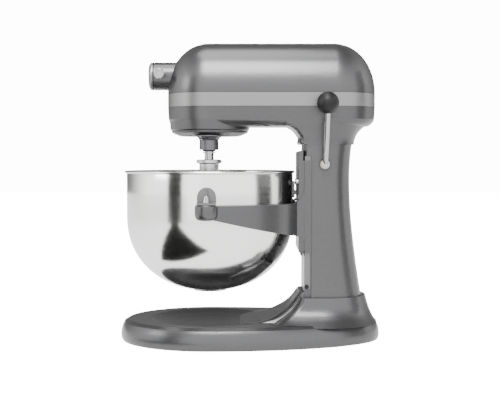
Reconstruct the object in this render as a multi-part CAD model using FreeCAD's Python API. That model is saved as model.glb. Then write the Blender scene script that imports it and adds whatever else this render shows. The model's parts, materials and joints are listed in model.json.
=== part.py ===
import FreeCAD, Part
import math
import os

V = FreeCAD.Vector
X, Y, Z = V(1, 0, 0), V(0, 1, 0), V(0, 0, 1)

# Bowl-lift stand mixer. Millimetres; +Z up, the attachment hub faces -Y and the
# lift lever is on the +X side. The origin is under the middle of the stand.

# ---------------------------------------------------------------- fits
RUN = 0.05          # radial clearance of a running shaft in its bush
GAP = 0.3           # clearance between pieces that move past each other
SEAM = 0.5          # dark shut line between two castings

# ---------------------------------------------------------------- base
FOOT_H = 2.0        # how far the feet hold the base off the worktop
FOOT_R = 10.0
BASE_HALF = 110.0   # greatest half-width, at the widest section
BASE_FRONT = 126.5  # from the bowl axis to the front of the base
BASE_REAR = 240.5   # from the bowl axis to the back of the base
BASE_TOP = 32.0     # rim height
BASE_CAVITY = 12.0  # depth of the hollow underside
DISH_R = 84.0
DISH_DEPTH = 11.0
COLLAR_TOP = 66.0   # where the column leaves the base
COLLAR_LIP = 6.0    # how far the collar stands outside the column

# ---------------------------------------------------------------- column
COLUMN_H = 211.5    # from the collar to the neck seam
COLUMN_SOCKET = 14.0
COLUMN_WALL = 6.0
COLUMN_FRONT = 75.0
COLUMN_FLAT = 100.0  # the flat sides end here and the back rounds off
COLUMN_HALF_TOP = 45.5
COLUMN_HALF_FOOT = 50.0
COLUMN_WAIST = 140.7  # back of the column at its slimmest
COLUMN_FLARE = 16.8   # how far its back has moved out at the collar
COLUMN_CORNER = 5.0
RAIL_X = 45.0       # guide rails lie on the column sides from here outwards
RAIL_T = 2.0
RAIL_Y = (75.5, 83.0)

# ---------------------------------------------------------------- head
BOWL_Y = -56.7      # planetary and bowl axis
HEAD_HALF = 58.0    # half-width, also the radius of both round ends
HEAD_FRONT_C = -58.0
HEAD_SPAN = 176.5   # between the centres of the two round ends
HEAD_WALL = 4.0
GEARCASE_H = 51.8   # from the neck seam to the trim band
BAND_H = 19.5
BAND_T = 2.0
COVER_H = 70.9
DOME_POWER = 2.05   # fullness of the cover's cross-section
BOSS_R = 55.0       # planetary boss at its lower edge
BOSS_Z_DROP = 32.8  # from the trim band down to that edge

# ---------------------------------------------------------------- agitator and beater
AGIT_DROP = 26.8    # lower end of the agitator boss below the planetary boss
AGIT_BOSS_R = 13.3
AGIT_BEARING_R = 10.5
AGIT_SHAFT_R = 6.5
COLLAR_R = 13.6
BLADE_T = 5.0
TWIST = 32.0        # turn that locks the beater on its pin, in degrees

# ---------------------------------------------------------------- attachment hub
HUB_R = 19.65
HUB_BORE = 13.0
HUB_BORE_DEPTH = 17.7  # mouth of the hub to the drive shaft's face
HUB_SHAFT_BORE = 11.4  # round the drive shaft, behind the socket
HUB_BUSH_Y = -98.0
HUB_FRONT = -136.0
HUB_RISE = 25.0     # hub axis above the top of the trim band
HUB_CAP_T = 6.7
KNOB_R = 7.7

# ---------------------------------------------------------------- gear train
MODULE = 1.5
TOOTH_SHARE = 0.40  # tooth thickness as a share of the pitch
RING_TEETH = 64
PLANET_TEETH = 18
CENTRE_TEETH = 54
DRIVE_TEETH = 17
WHEEL_TEETH = 28
BEVEL_TEETH = 20
BEVEL_MODULE = 1.75
WORM_PITCH_R = 7.5
GEAR_FACE = 10.0

# ---------------------------------------------------------------- motor
MOTOR_RISE = 1.2    # motor axis above the top of the trim band
STATOR_R = 37.0
STATOR_Y = (52.0, 104.0)
ARMATURE_R = 23.0
MOTOR_SHAFT_R = 4.0
BEARING_R = 11.0
BEARING_W = 7.0

# ---------------------------------------------------------------- bowl
BOWL_R = 117.5
BOWL_WALL = 1.2
RIM_DROP = 55.5     # bowl rim below the planetary boss
BOWL_STRAIGHT = 63.5  # straight wall under the rim
BOWL_ROUND = 108.0    # depth of the rounded bottom
BOWL_POWER = 2.17
BOWL_FLAT = 26.0
HANDLE_ANGLE = 215.0
HANDLE_REACH = 40.0

# ---------------------------------------------------------------- yoke
YOKE_GAP = 5.0      # between the bowl and the arms
ARM_T = 9.0
ARM_DROP = 0.8      # top edge of the arms below the cups
CUP_R = 15.2
CUP_H = 19.9
CUP_DROP = 43.7     # tops of the cups below the bowl rim
PIN_R = 4.7
PIN_H = 12.5
YOKE_FRONT = 67.0
YOKE_LEG_X = (47.3, 52.3)
YOKE_LEG_Y = (75.0, 84.0)
YOKE_STEP = 3.0     # the plate behind the legs is narrower by this

# ---------------------------------------------------------------- lift
LEVER_Y = 103.0
LEVER_DROP = 27.5   # lever pivot below the neck seam
LEVER_SHAFT_R = 5.0
LEVER_ROD_R = 3.8
LEVER_KNOB_R = 15.0
LEVER_KNOB_X = 85.0
LEVER_REACH = 82.5
CRANK_R = 20.2
CRANK_REST = 20.0   # degrees from straight up, towards the back
ROLLER_R = 4.0
ROLLER_PLAY = 2.5

# ---------------------------------------------------------------- worked out
NECK_Z = COLLAR_TOP + COLUMN_H
BAND_Z = NECK_Z + GEARCASE_H
BAND_TOP = BAND_Z + BAND_H
HEAD_TOP = BAND_TOP + COVER_H
JOINT_Z = BAND_Z + 0.55 * BAND_H
HEAD_REAR_C = HEAD_FRONT_C + HEAD_SPAN
HUB_Z = BAND_TOP + HUB_RISE
BOSS_Z = BAND_Z - BOSS_Z_DROP
FLOOR_Z = BOSS_Z + 17.5
MOTOR_Z = BAND_TOP + MOTOR_RISE
RING_PITCH = RING_TEETH * MODULE / 2
PLANET_PITCH = PLANET_TEETH * MODULE / 2
AGITATOR_X = RING_PITCH - PLANET_PITCH
CENTRE_PITCH = CENTRE_TEETH * MODULE / 2
DRIVE_PITCH = DRIVE_TEETH * MODULE / 2
WHEEL_PITCH = WHEEL_TEETH * MODULE / 2
BEVEL_PITCH = BEVEL_TEETH * BEVEL_MODULE / 2
WHEEL_X = WORM_PITCH_R + WHEEL_PITCH
WHEEL_Y = BOWL_Y + math.sqrt((CENTRE_PITCH + DRIVE_PITCH) ** 2 - WHEEL_X ** 2)
TRAIN_Z = FLOOR_Z + 3.0
LEVER_Z = NECK_Z - LEVER_DROP
BOWL_RIM_Z = BOSS_Z - RIM_DROP
CUP_TOP = BOWL_RIM_Z - CUP_DROP
CUP_BASE = CUP_TOP - CUP_H
CUP_X = BOWL_R + YOKE_GAP + ARM_T / 2
ARM_TOP = CUP_TOP - ARM_DROP
AGIT_BOSS_Z = BOSS_Z - AGIT_DROP
BOWL_TURN_Z = BOWL_RIM_Z - BOWL_STRAIGHT
BOWL_BOTTOM = BOWL_TURN_Z - BOWL_ROUND
SEAT_Z = CUP_TOP + 0.7

# fittings inside
GLAND_Z = 77.0     # cord gland, low on the far side of the column
GLAND_R = 7.0
BRACKET_T = 6.0
NECK_LUG = 12.0
WHEEL_BUSH_R = 8.0
WHEEL_SHAFT_R = 5.0
CENTRE_SHAFT_R = 6.0
FRONT_BRACKET = (12.0, 20.0)
REAR_BRACKET = (136.0, 144.0)
SPEED_Y = (10.0, 62.0)
SPEED_SLOT_H = 6.0
KNOB_STEM_R = 3.2


# ---------------------------------------------------------------- helpers
def save(name, *solids):
    """Write one node; several separate solids become one compound."""
    shape = solids[0] if len(solids) == 1 else Part.makeCompound(list(solids))
    shape.exportStep(os.path.join("parts", name + ".step"))


def cylinder(radius, length, base, axis=Z):
    return Part.makeCylinder(radius, length, V(*base), axis)


def tube(outer, inner, length, base, axis=Z):
    return cylinder(outer, length, base, axis).cut(cylinder(inner, length, base, axis))


def block(x, y, z):
    """Box between two X, two Y and two Z values."""
    return Part.makeBox(x[1] - x[0], y[1] - y[0], z[1] - z[0], V(x[0], y[0], z[0]))


def polygon(points):
    return Part.Face(Part.makePolygon([V(*p) for p in points] + [V(*points[0])]))


def outward(solid):
    """The same solid with its faces pointing out, whichever way its outline ran."""
    if solid.Volume < 0:
        solid.reverse()
    return solid


def turned(profile, centre=(0, 0), angle=360):
    """Turn (radius, z) points about the vertical line through centre."""
    face = polygon([(r, 0, z) for r, z in profile])
    solid = outward(face.revolve(V(0, 0, 0), Z, angle))
    solid.translate(V(centre[0], centre[1], 0))
    return solid


def turned_y(profile, x, z):
    """Turn (radius, y) points about the line along Y through (x, z)."""
    face = polygon([(r, y, 0) for r, y in profile])
    solid = outward(face.revolve(V(0, 0, 0), Y, 360))
    solid.translate(V(x, 0, z))
    return solid


def side_profile(points, x):
    """Push a (y, z) outline along X from x[0] to x[1]."""
    return polygon([(x[0], y, z) for y, z in points]).extrude(V(x[1] - x[0], 0, 0))


def plan_profile(points, z):
    return polygon([(x, y, z[0]) for x, y in points]).extrude(V(0, 0, z[1] - z[0]))


def mirrored(shape):
    return shape.mirror(V(0, 0, 0), X)


def both(shape):
    return [shape, mirrored(shape)]


def fused(first, *others):
    result = first
    for other in others:
        result = result.fuse(other)
    return result.removeSplitter()


def arc_points(centre, radius, start, end, count):
    """Points of an arc in a plane, angles in degrees."""
    step = (end - start) / (count - 1)
    angles = [math.radians(start + i * step) for i in range(count)]
    return [(centre[0] + radius * math.cos(a), centre[1] + radius * math.sin(a)) for a in angles]


def superellipse(a, b, power, share):
    """Point of a quarter superellipse: share 0 is on the a axis, 1 on the b axis."""
    angle = share * math.pi / 2
    c, s = math.cos(angle), math.sin(angle)
    return a * c ** (2 / power), b * s ** (2 / power)


def spline_edge(points):
    curve = Part.BSplineCurve()
    curve.interpolate([V(*p) for p in points])
    return curve.toShape()


def stadium(edges_of, z_axis_points):
    """Solid with a stadium plan; edges_of() gives the half-section's edges in XZ.

    z_axis_points are the section's top and bottom on the centre plane.
    """
    top, bottom = z_axis_points
    edges = edges_of() + [Part.makeLine(V(0, 0, bottom), V(0, 0, top))]
    half = Part.Face(Part.Wire(Part.sortEdges(edges)[0]))
    half.translate(V(0, HEAD_FRONT_C, 0))
    right = half.extrude(V(0, HEAD_SPAN, 0))
    front = half.revolve(V(0, HEAD_FRONT_C, 0), Z, -180)
    rear_half = half.copy()
    rear_half.translate(V(0, HEAD_SPAN, 0))
    rear = rear_half.revolve(V(0, HEAD_REAR_C, 0), Z, 180)
    return fused(right, mirrored(right), front, rear)


def stadium_block(radius, z):
    """Stadium prism of one radius between two heights."""
    corners = [V(0, 0, z[0]), V(radius, 0, z[0]), V(radius, 0, z[1]), V(0, 0, z[1])]
    return stadium(lambda: [Part.makeLine(a, b) for a, b in zip(corners, corners[1:])], (z[1], z[0]))


def gear_outline(teeth, module, z, phase=0.0, share=TOOTH_SHARE, up=0.85, down=1.15, scale=1.0):
    """Outline of a straight-flanked gear; phase is the angle of one tooth's middle."""
    pitch = teeth * module / 2
    half = share * math.pi * module / 2
    slope = math.tan(math.radians(20))
    root, tip = pitch - down * module, pitch + up * module
    root_a = (half + down * module * slope) / pitch
    tip_a = (half - up * module * slope) / pitch
    points = []
    for i in range(teeth):
        mid = phase + 2 * math.pi * i / teeth
        for radius, angle in ((root, -root_a), (tip, -tip_a), (tip, tip_a), (root, root_a)):
            a = mid + angle
            points.append(V(scale * radius * math.cos(a), scale * radius * math.sin(a), z))
    return Part.makePolygon(points + [points[0]])


def spur_gear(teeth, centre, z, phase=0.0, module=MODULE, share=TOOTH_SHARE):
    face = Part.Face(gear_outline(teeth, module, z[0], phase, share))
    gear = face.extrude(V(0, 0, z[1] - z[0]))
    gear.translate(V(centre[0], centre[1], 0))
    return gear


def bevel_gear(phase, bore):
    """Bevel gear on Z with its cone's point at the origin and its teeth below it."""
    near = 0.68
    large = gear_outline(BEVEL_TEETH, BEVEL_MODULE, -BEVEL_PITCH, phase, 0.38)
    small = gear_outline(BEVEL_TEETH, BEVEL_MODULE, -BEVEL_PITCH * near, phase, 0.38, scale=near)
    teeth = Part.makeLoft([large, small], True, True)
    back = cylinder(BEVEL_PITCH - 1.2 * BEVEL_MODULE, 3.0, (0, 0, -BEVEL_PITCH - 3.0))
    return fused(teeth, back).cut(cylinder(bore, BEVEL_PITCH * 2, (0, 0, -BEVEL_PITCH * 2)))


def screw(radius, length, base, axis=Z, head_r=None, head_h=3.0):
    """Hex-socket screw: shank from base along axis, head outside the base."""
    head_r = head_r or radius * 1.8
    shank = Part.makeCylinder(radius, length, V(*base), axis)
    head = Part.makeCylinder(head_r, head_h, V(*base), axis * -1)
    socket = Part.makeCylinder(radius * 0.8, head_h * 0.6, V(*base) - axis * head_h, axis)
    return fused(shank, head).cut(socket)


# ---------------------------------------------------------------- base
def egg_wire(inset, z):
    """Base outline: a short half-ellipse in front of the bowl axis, a long one behind."""
    half = BASE_HALF - inset
    left, right = V(-half, BOWL_Y, z), V(half, BOWL_Y, z)
    edges = []
    for length, start, end in ((BASE_FRONT, left, right), (BASE_REAR, right, left)):
        reach = length - inset
        tip = V(0, BOWL_Y - reach if length == BASE_FRONT else BOWL_Y + reach, z)
        major, minor = (tip, end) if reach > half else (start, tip)
        ellipse = Part.Ellipse(major, minor, V(0, BOWL_Y, z))
        first, last = ellipse.parameter(start), ellipse.parameter(end)
        edges.append(Part.Arc(ellipse, first, last).toShape())
    return Part.Wire(edges)


def column_rear(z):
    """Back of the column at height z: slim at the waist, flaring down to the foot."""
    waist_z = COLLAR_TOP + 0.7 * COLUMN_H
    if z < waist_z:
        return COLUMN_WAIST + COLUMN_FLARE * ((waist_z - z) / (waist_z - COLLAR_TOP)) ** 1.5
    return COLUMN_WAIST + 3.1 * ((z - waist_z) / (NECK_Z - waist_z)) ** 2


def column_half(z):
    share = (z - COLLAR_TOP) / COLUMN_H
    return COLUMN_HALF_FOOT + (COLUMN_HALF_TOP - COLUMN_HALF_FOOT) * max(share, 0.0)


def d_wire(z, front, half, flat, rear, corner=COLUMN_CORNER):
    """Closed outline: flat front with rounded corners, flat sides, round back."""
    k = corner * (1 - math.sqrt(0.5))
    def point(x, y):
        return V(x, y, z)
    back = [superellipse(half, rear - flat, 2.3, i / 6) for i in range(7)]
    spine = [point(x, flat + y) for x, y in back] + [point(-x, flat + y) for x, y in reversed(back[:-1])]
    curve = Part.BSplineCurve()
    curve.interpolate(Points=spine, InitialTangent=V(0, 1, 0), FinalTangent=V(0, -1, 0))
    edges = [
        Part.makeLine(point(corner - half, front), point(half - corner, front)),
        Part.Arc(point(half - corner, front), point(half - k, front + k),
                 point(half, front + corner)).toShape(),
        Part.makeLine(point(half, front + corner), point(half, flat)),
        curve.toShape(),
        Part.makeLine(point(-half, flat), point(-half, front + corner)),
        Part.Arc(point(-half, front + corner), point(k - half, front + k),
                 point(corner - half, front)).toShape(),
    ]
    return Part.Wire(edges)


def column_solid(inset, heights):
    wires = [d_wire(z, COLUMN_FRONT + inset, column_half(z) - inset, COLUMN_FLAT,
                    column_rear(z) - inset) for z in heights]
    return Part.makeLoft(wires, True, False)


def column_body():
    """Outside of the column, from the bottom of its socket to the neck seam."""
    shares = (0.0, 0.12, 0.28, 0.45, 0.7, 1.0)
    return column_solid(0, [COLLAR_TOP - COLUMN_SOCKET] + [COLLAR_TOP + s * COLUMN_H for s in shares])


def foot_places():
    half = BASE_HALF - 28
    return [(half, BOWL_Y), (-half, BOWL_Y), (0, BOWL_Y - BASE_FRONT + 26),
            (48, BOWL_Y + BASE_REAR - 88), (-48, BOWL_Y + BASE_REAR - 88)]


def bolt_places():
    return [(x, y) for x in (-28, 28) for y in (COLUMN_FRONT + 20, COLUMN_FRONT + 50)]


def build_base():
    skirt = Part.makeLoft([egg_wire(2.5, FOOT_H), egg_wire(0.3, FOOT_H + 5), egg_wire(0, FOOT_H + 10),
                           egg_wire(1.6, FOOT_H + 19), egg_wire(5.0, BASE_TOP - 3.5)], True, False)
    shoulder = Part.makeLoft([egg_wire(5.0, BASE_TOP - 3.5), egg_wire(11.0, BASE_TOP)], True, True)
    collar_half = COLUMN_HALF_FOOT + COLLAR_LIP
    collar_rear = column_rear(COLLAR_TOP) + COLLAR_LIP
    rise = COLLAR_TOP - BASE_TOP
    steps = ((-0.10, 40, 27, 16), (0.10, 30, 17, 11), (0.35, 17, 8, 7), (0.65, 6, 3, 3.5), (1.0, 0, 0, 0))
    wires = [d_wire(BASE_TOP + t * rise, COLUMN_FRONT - COLLAR_LIP - f, collar_half + w,
                    COLUMN_FLAT, collar_rear + r, 9) for t, f, w, r in steps]
    collar = Part.makeLoft(wires, True, False)
    steps = ((5.8, 0, 36, 7), (1.5, 3.2, 37, 8), (-7, 10, 39, 10), (-15, 19, 42, 12), (-21, 29, 45, 14),
             (-27, 42, 49, 16), (-32, 60, 53, 18), (-38, 84, 56, 20))
    wires = [d_wire(COLLAR_TOP + rise, COLUMN_FRONT - COLLAR_LIP - f, w, COLUMN_FLAT, COLUMN_FLAT + 20, r)
             for rise, f, w, r in steps]
    ramp = Part.makeLoft(wires, True, False)
    ball_r = (DISH_R ** 2 + DISH_DEPTH ** 2) / (2 * DISH_DEPTH)
    dish = turned([(0, BASE_TOP - DISH_DEPTH)]
                  + [(DISH_R * s, BASE_TOP - DISH_DEPTH + ball_r - math.sqrt(ball_r ** 2 - (DISH_R * s) ** 2))
                     for s in (0.2, 0.4, 0.6, 0.8, 1.0)]
                  + [(DISH_R, BASE_TOP + 1), (0, BASE_TOP + 1)], (0, BOWL_Y))
    casting = fused(skirt, shoulder).cut(dish)
    casting = fused(casting, collar, ramp)
    socket_z = COLLAR_TOP - COLUMN_SOCKET
    casting = casting.cut(column_body())
    under = Part.makeLoft([egg_wire(9, FOOT_H - 1), egg_wire(10, FOOT_H + BASE_CAVITY)], True, True)
    posts = [cylinder(FOOT_R + 3, BASE_CAVITY + 2, (x, y, FOOT_H + 2)) for x, y in foot_places()]
    webs = [cylinder(13, BASE_CAVITY + 2, (x, y, FOOT_H + 4)) for x, y in bolt_places()]
    casting = casting.cut(under.cut(Part.makeCompound(posts + webs)))
    holes = [cylinder(4.0, 80, (x, y, FOOT_H)) for x, y in bolt_places()]
    heads = [cylinder(8.0, FOOT_H + 18, (x, y, 0)) for x, y in bolt_places()]
    studs = [cylinder(2.5, 10, (x, y, FOOT_H + 2)) for x, y in foot_places()]
    casting = casting.cut(Part.makeCompound(holes)).cut(Part.makeCompound(heads))
    casting = casting.cut(Part.makeCompound(studs))
    save("base_casting", casting)

    feet = []
    for x, y in foot_places():
        pad = turned([(0, 0), (FOOT_R - 1, 0), (FOOT_R, 1), (FOOT_R, FOOT_H + 2), (0, FOOT_H + 2)], (x, y))
        feet.append(fused(pad, cylinder(2.5, 6, (x, y, FOOT_H + 2))))
    save("rubber_feet", *feet)
    lower = [screw(4.0, socket_z - FOOT_H - 6, (x, y, FOOT_H + 18), Z, 7.0, 5.0) for x, y in bolt_places()]
    upper = [screw(3.0, NECK_LUG + 19, (x, y, NECK_Z - NECK_LUG), Z, 5.5) for x, y in neck_bolt_places()]
    save("frame_bolts", *lower, *upper)


# ---------------------------------------------------------------- column
def build_column():
    foot = COLLAR_TOP - COLUMN_SOCKET
    shares = (0.12, 0.28, 0.45, 0.7, 1.0)
    inner = column_solid(COLUMN_WALL, [foot + COLUMN_SOCKET + 4] + [COLLAR_TOP + s * COLUMN_H for s in shares]
                         + [NECK_Z + 1])
    bosses = [cylinder(8.6, NECK_LUG, (x, y, NECK_Z - NECK_LUG)) for x, y in neck_bolt_places()]
    shaft_boss = cylinder(LEVER_SHAFT_R + 5, 14, (column_half(LEVER_Z) - 16, LEVER_Y, LEVER_Z), X)
    body = column_body().cut(inner.cut(Part.makeCompound(bosses + [shaft_boss])))
    channel_top = LEVER_Z + 12
    for side in (-1, 1):
        cut = block((RAIL_X, RAIL_X + 30), (COLUMN_FRONT - 10, YOKE_LEG_Y[1] + 0.5),
                    (COLLAR_TOP, channel_top))
        body = body.cut(cut if side > 0 else mirrored(cut))
    bracket_slot = block((-BRACKET_T / 2 - 1.5, BRACKET_T / 2 + 1.5),
                         (COLUMN_FRONT - 5, COLUMN_FRONT + COLUMN_WALL + 2),
                         (LEVER_Z - 75, LEVER_Z + 8))
    body = body.cut(bracket_slot)
    body = body.cut(cylinder(LEVER_SHAFT_R + 1.5, 80, (10, LEVER_Y, LEVER_Z), X))
    body = body.cut(cylinder(9.0, 4.0, (column_half(LEVER_Z) - 2.2, LEVER_Y, LEVER_Z), X))
    for x, y in neck_bolt_places():
        body = body.cut(cylinder(3.0, 60, (x, y, NECK_Z - 40)))
    for x, y in bolt_places():
        body = body.cut(cylinder(4.0, 14, (x, y, foot - 1)))
    gland = turned_y([(3.6, -9), (GLAND_R, -9), (GLAND_R, -1), (GLAND_R + 2, -1), (GLAND_R + 2, 1),
                      (GLAND_R + 1, 4), (3.6, 6)], 0, GLAND_Z)
    gland.rotate(V(0, 0, 0), Z, 90)
    side = -column_half(GLAND_Z)
    gland.translate(V(side, COLUMN_FLAT - 8, 0))
    save("cord_gland", gland)
    body = body.cut(cylinder(GLAND_R + 2, 10, (side - 9, COLUMN_FLAT - 8, GLAND_Z), X))
    body = body.cut(cylinder(GLAND_R, 20, (side - 5, COLUMN_FLAT - 8, GLAND_Z), X))
    stop = (COLLAR_TOP + 15, COLUMN_FRONT + 3)
    for side in (1, -1):
        body = body.cut(cylinder(1.5, 8, (side * (RAIL_X - 5), stop[1], stop[0]), X * side))
    save("pedestal_column", body)

    rail = block((RAIL_X, RAIL_X + RAIL_T), RAIL_Y, (COLLAR_TOP + 12, channel_top - 1))
    hole = cylinder(1.5, 12, (RAIL_X - 8, stop[1], stop[0]), X)
    save("guide_rails", *both(rail.cut(hole)))
    stops = fused(cylinder(1.5, 8, (RAIL_X - 5, stop[1], stop[0]), X),
                  cylinder(3.0, 3.2, (RAIL_X + RAIL_T, stop[1], stop[0]), X))
    save("rail_stop_screws", *both(stops))


def neck_bolt_places():
    return [(x, y) for x in (-32, 32) for y in (COLUMN_FRONT + 14, COLUMN_FRONT + 32)]


# ---------------------------------------------------------------- head castings
def dome_edges(inset):
    """Half-section of the motor cover's dome, from its foot to the centre line."""
    a, b = HEAD_HALF - inset, COVER_H - inset
    points = [superellipse(a, b, DOME_POWER, i / 9) for i in range(10)]
    curve = Part.BSplineCurve()
    curve.interpolate(Points=[V(x, 0, BAND_TOP + z) for x, z in points], InitialTangent=Z,
                      FinalTangent=X * -1)
    return [curve.toShape()]


def dome(inset):
    """Solid of the motor cover's dome above the trim band."""
    def edges():
        return dome_edges(inset) + [Part.makeLine(V(0, 0, BAND_TOP), V(HEAD_HALF - inset, 0, BAND_TOP))]
    return stadium(edges, (HEAD_TOP - inset, BAND_TOP))


def belly(inset):
    """Half-section of the gearcase: side, rounded lower edge and flat underside."""
    low, turn = BAND_Z - 26.7 + inset, BAND_Z - 16.7
    r, side = HEAD_HALF - inset, HEAD_HALF - 1.0 - inset
    def edges():
        corner = V(side - 4, 0, turn - (turn - low) * 0.62)
        return [Part.makeLine(V(0, 0, BAND_Z), V(r, 0, BAND_Z)),
                Part.makeLine(V(r, 0, BAND_Z), V(side, 0, turn)),
                Part.Arc(V(side, 0, turn), corner, V(side - 16, 0, low)).toShape(),
                Part.makeLine(V(side - 16, 0, low), V(0, 0, low))]
    return stadium(edges, (BAND_Z, low))


def neck(inset):
    """Flare from the top of the column into the underside of the head."""
    front, rear = COLUMN_FRONT - 5, column_rear(NECK_Z) + 3
    steps = ((0, 0, 0, 0), (7.5, 0.8, 0.6, 1.5), (13.5, 3.2, 1.8, 4.0), (18.5, 7.0, 3.4, 7.5),
             (22.5, 12.0, 5.2, 11.5),
             (26, 19, 7, 16), (31, 26, 9, 23), (36.5, 30, 10, 28.4))
    wires = [d_wire(NECK_Z + rise, front - f + inset, COLUMN_HALF_TOP + 1 + w - inset, COLUMN_FLAT,
                    rear + r - inset, 7) for rise, f, w, r in steps]
    return Part.makeLoft(wires, True, False)


def cover_screw_places():
    return [(-45, HEAD_FRONT_C + 50), (45, HEAD_FRONT_C + 80), (0, HEAD_REAR_C + 46)]


def build_gearcase():
    inner_r = HEAD_HALF - BAND_T - 0.6
    lip = stadium_block(inner_r, (BAND_Z - SEAM, JOINT_Z))
    boss = turned([(0, BAND_Z - 10), (HEAD_HALF - 0.5, BAND_Z - 10), (HEAD_HALF - 0.7, BAND_Z - 17),
                   (BOSS_R + 0.6, BOSS_Z + 2), (BOSS_R - 1, BOSS_Z), (0, BOSS_Z)], (0, BOWL_Y))
    case = fused(belly(0), lip, boss, neck(0))
    gears = stadium_block(inner_r - HEAD_WALL, (FLOOR_Z, JOINT_Z + 1)).cut(
        block((-80, 80), (30, 300), (FLOOR_Z - 1, JOINT_Z + 2)))
    motor_y = (30, HEAD_REAR_C + HEAD_HALF - 10)
    motor = stadium_block(inner_r - HEAD_WALL, (BAND_Z - 20, JOINT_Z + 1)).common(
        block((-80, 80), (motor_y[0] - 0.5, 300), (BAND_Z - 30, JOINT_Z + 2)))
    bosses = [cylinder(7.0, 40, (x, y, BAND_Z - 30)) for x, y in cover_screw_places()]
    floor_pads = [cylinder(9.0, 34, (x, y, NECK_Z)) for x, y in neck_bolt_places()]
    cavity = Part.makeCompound([gears, motor])
    case = case.cut(cavity.cut(Part.makeCompound(bosses)))
    neck_well = block((-18, 18), (COLUMN_FRONT + 8, LEVER_Y + CRANK_R + ROLLER_R + 6),
                      (NECK_Z - 1, BAND_Z - 19))
    case = case.cut(neck_well.cut(Part.makeCompound(floor_pads)))
    chamber = cylinder(RING_PITCH + 5.0, FLOOR_Z - 4 - BOSS_Z + 1, (0, BOWL_Y, BOSS_Z - 1))
    case = case.cut(chamber)
    case = case.cut(cylinder(BEARING_R, 10, (0, BOWL_Y, FLOOR_Z - 5)))
    case = case.cut(cylinder(WHEEL_BUSH_R, 8, (WHEEL_X, WHEEL_Y, FLOOR_Z - 6)))
    for x, y in cover_screw_places():
        case = case.cut(cylinder(2.0, 60, (x, y, BAND_Z - 40)))
        case = case.cut(cylinder(4.2, 30, (x, y, BAND_Z - 40)))
    for x, y in neck_bolt_places():
        case = case.cut(cylinder(3.0, 22, (x, y, NECK_Z - 1)))
    case = case.cut(speed_slot())
    case = case.cut(block((-38.3, 38.3), (FRONT_BRACKET[0], FRONT_BRACKET[1]), (FLOOR_Z - 0.01, JOINT_Z)))
    save("gearcase_housing", case)

    seam = SEAM
    band = stadium_block(HEAD_HALF, (BAND_Z + seam, BAND_TOP - seam)).cut(
        stadium_block(HEAD_HALF - BAND_T, (BAND_Z, BAND_TOP)))
    save("trim_band", band.cut(speed_slot()))

    shell = fused(dome(0), stadium_block(inner_r, (JOINT_Z, BAND_TOP + 0.5)))
    hollow = dome(HEAD_WALL).fuse(stadium_block(inner_r - HEAD_WALL, (JOINT_Z - 1, BAND_TOP + 0.5)))
    lugs = [cylinder(7.0, 14, (x, y, JOINT_Z)) for x, y in cover_screw_places()]
    shell = shell.cut(hollow.cut(Part.makeCompound(lugs)))
    for x, y in cover_screw_places():
        shell = shell.cut(cylinder(2.0, 11, (x, y, JOINT_Z - 1)))
    shell = shell.cut(cylinder(HUB_R, 60, (0, HUB_FRONT, HUB_Z), Y)).cut(speed_slot())
    save("motor_cover", shell)
    save("cover_screws", *[screw(2.0, JOINT_Z - BAND_Z + 19, (x, y, BAND_Z - 10), Z, 4.0)
                           for x, y in cover_screw_places()])
    save("ring_gear", ring_gear())


def speed_slot():
    """Slot in the left wall of the head that the speed lever slides along."""
    z = BAND_Z + BAND_H / 2
    return block((-HEAD_HALF - 5, 10 - HEAD_HALF), SPEED_Y, (z - SPEED_SLOT_H / 2, z + SPEED_SLOT_H / 2))


def ring_gear():
    z = (BOSS_Z + 1.5, BOSS_Z + 1.5 + GEAR_FACE)
    hole = Part.Face(gear_outline(RING_TEETH, MODULE, z[0], 0.0, 1 - TOOTH_SHARE, 1.15, 0.85))
    hole = hole.extrude(V(0, 0, GEAR_FACE))
    hole.translate(V(0, BOWL_Y, 0))
    return cylinder(RING_PITCH + 5.0, GEAR_FACE, (0, BOWL_Y, z[0])).cut(hole)


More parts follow.
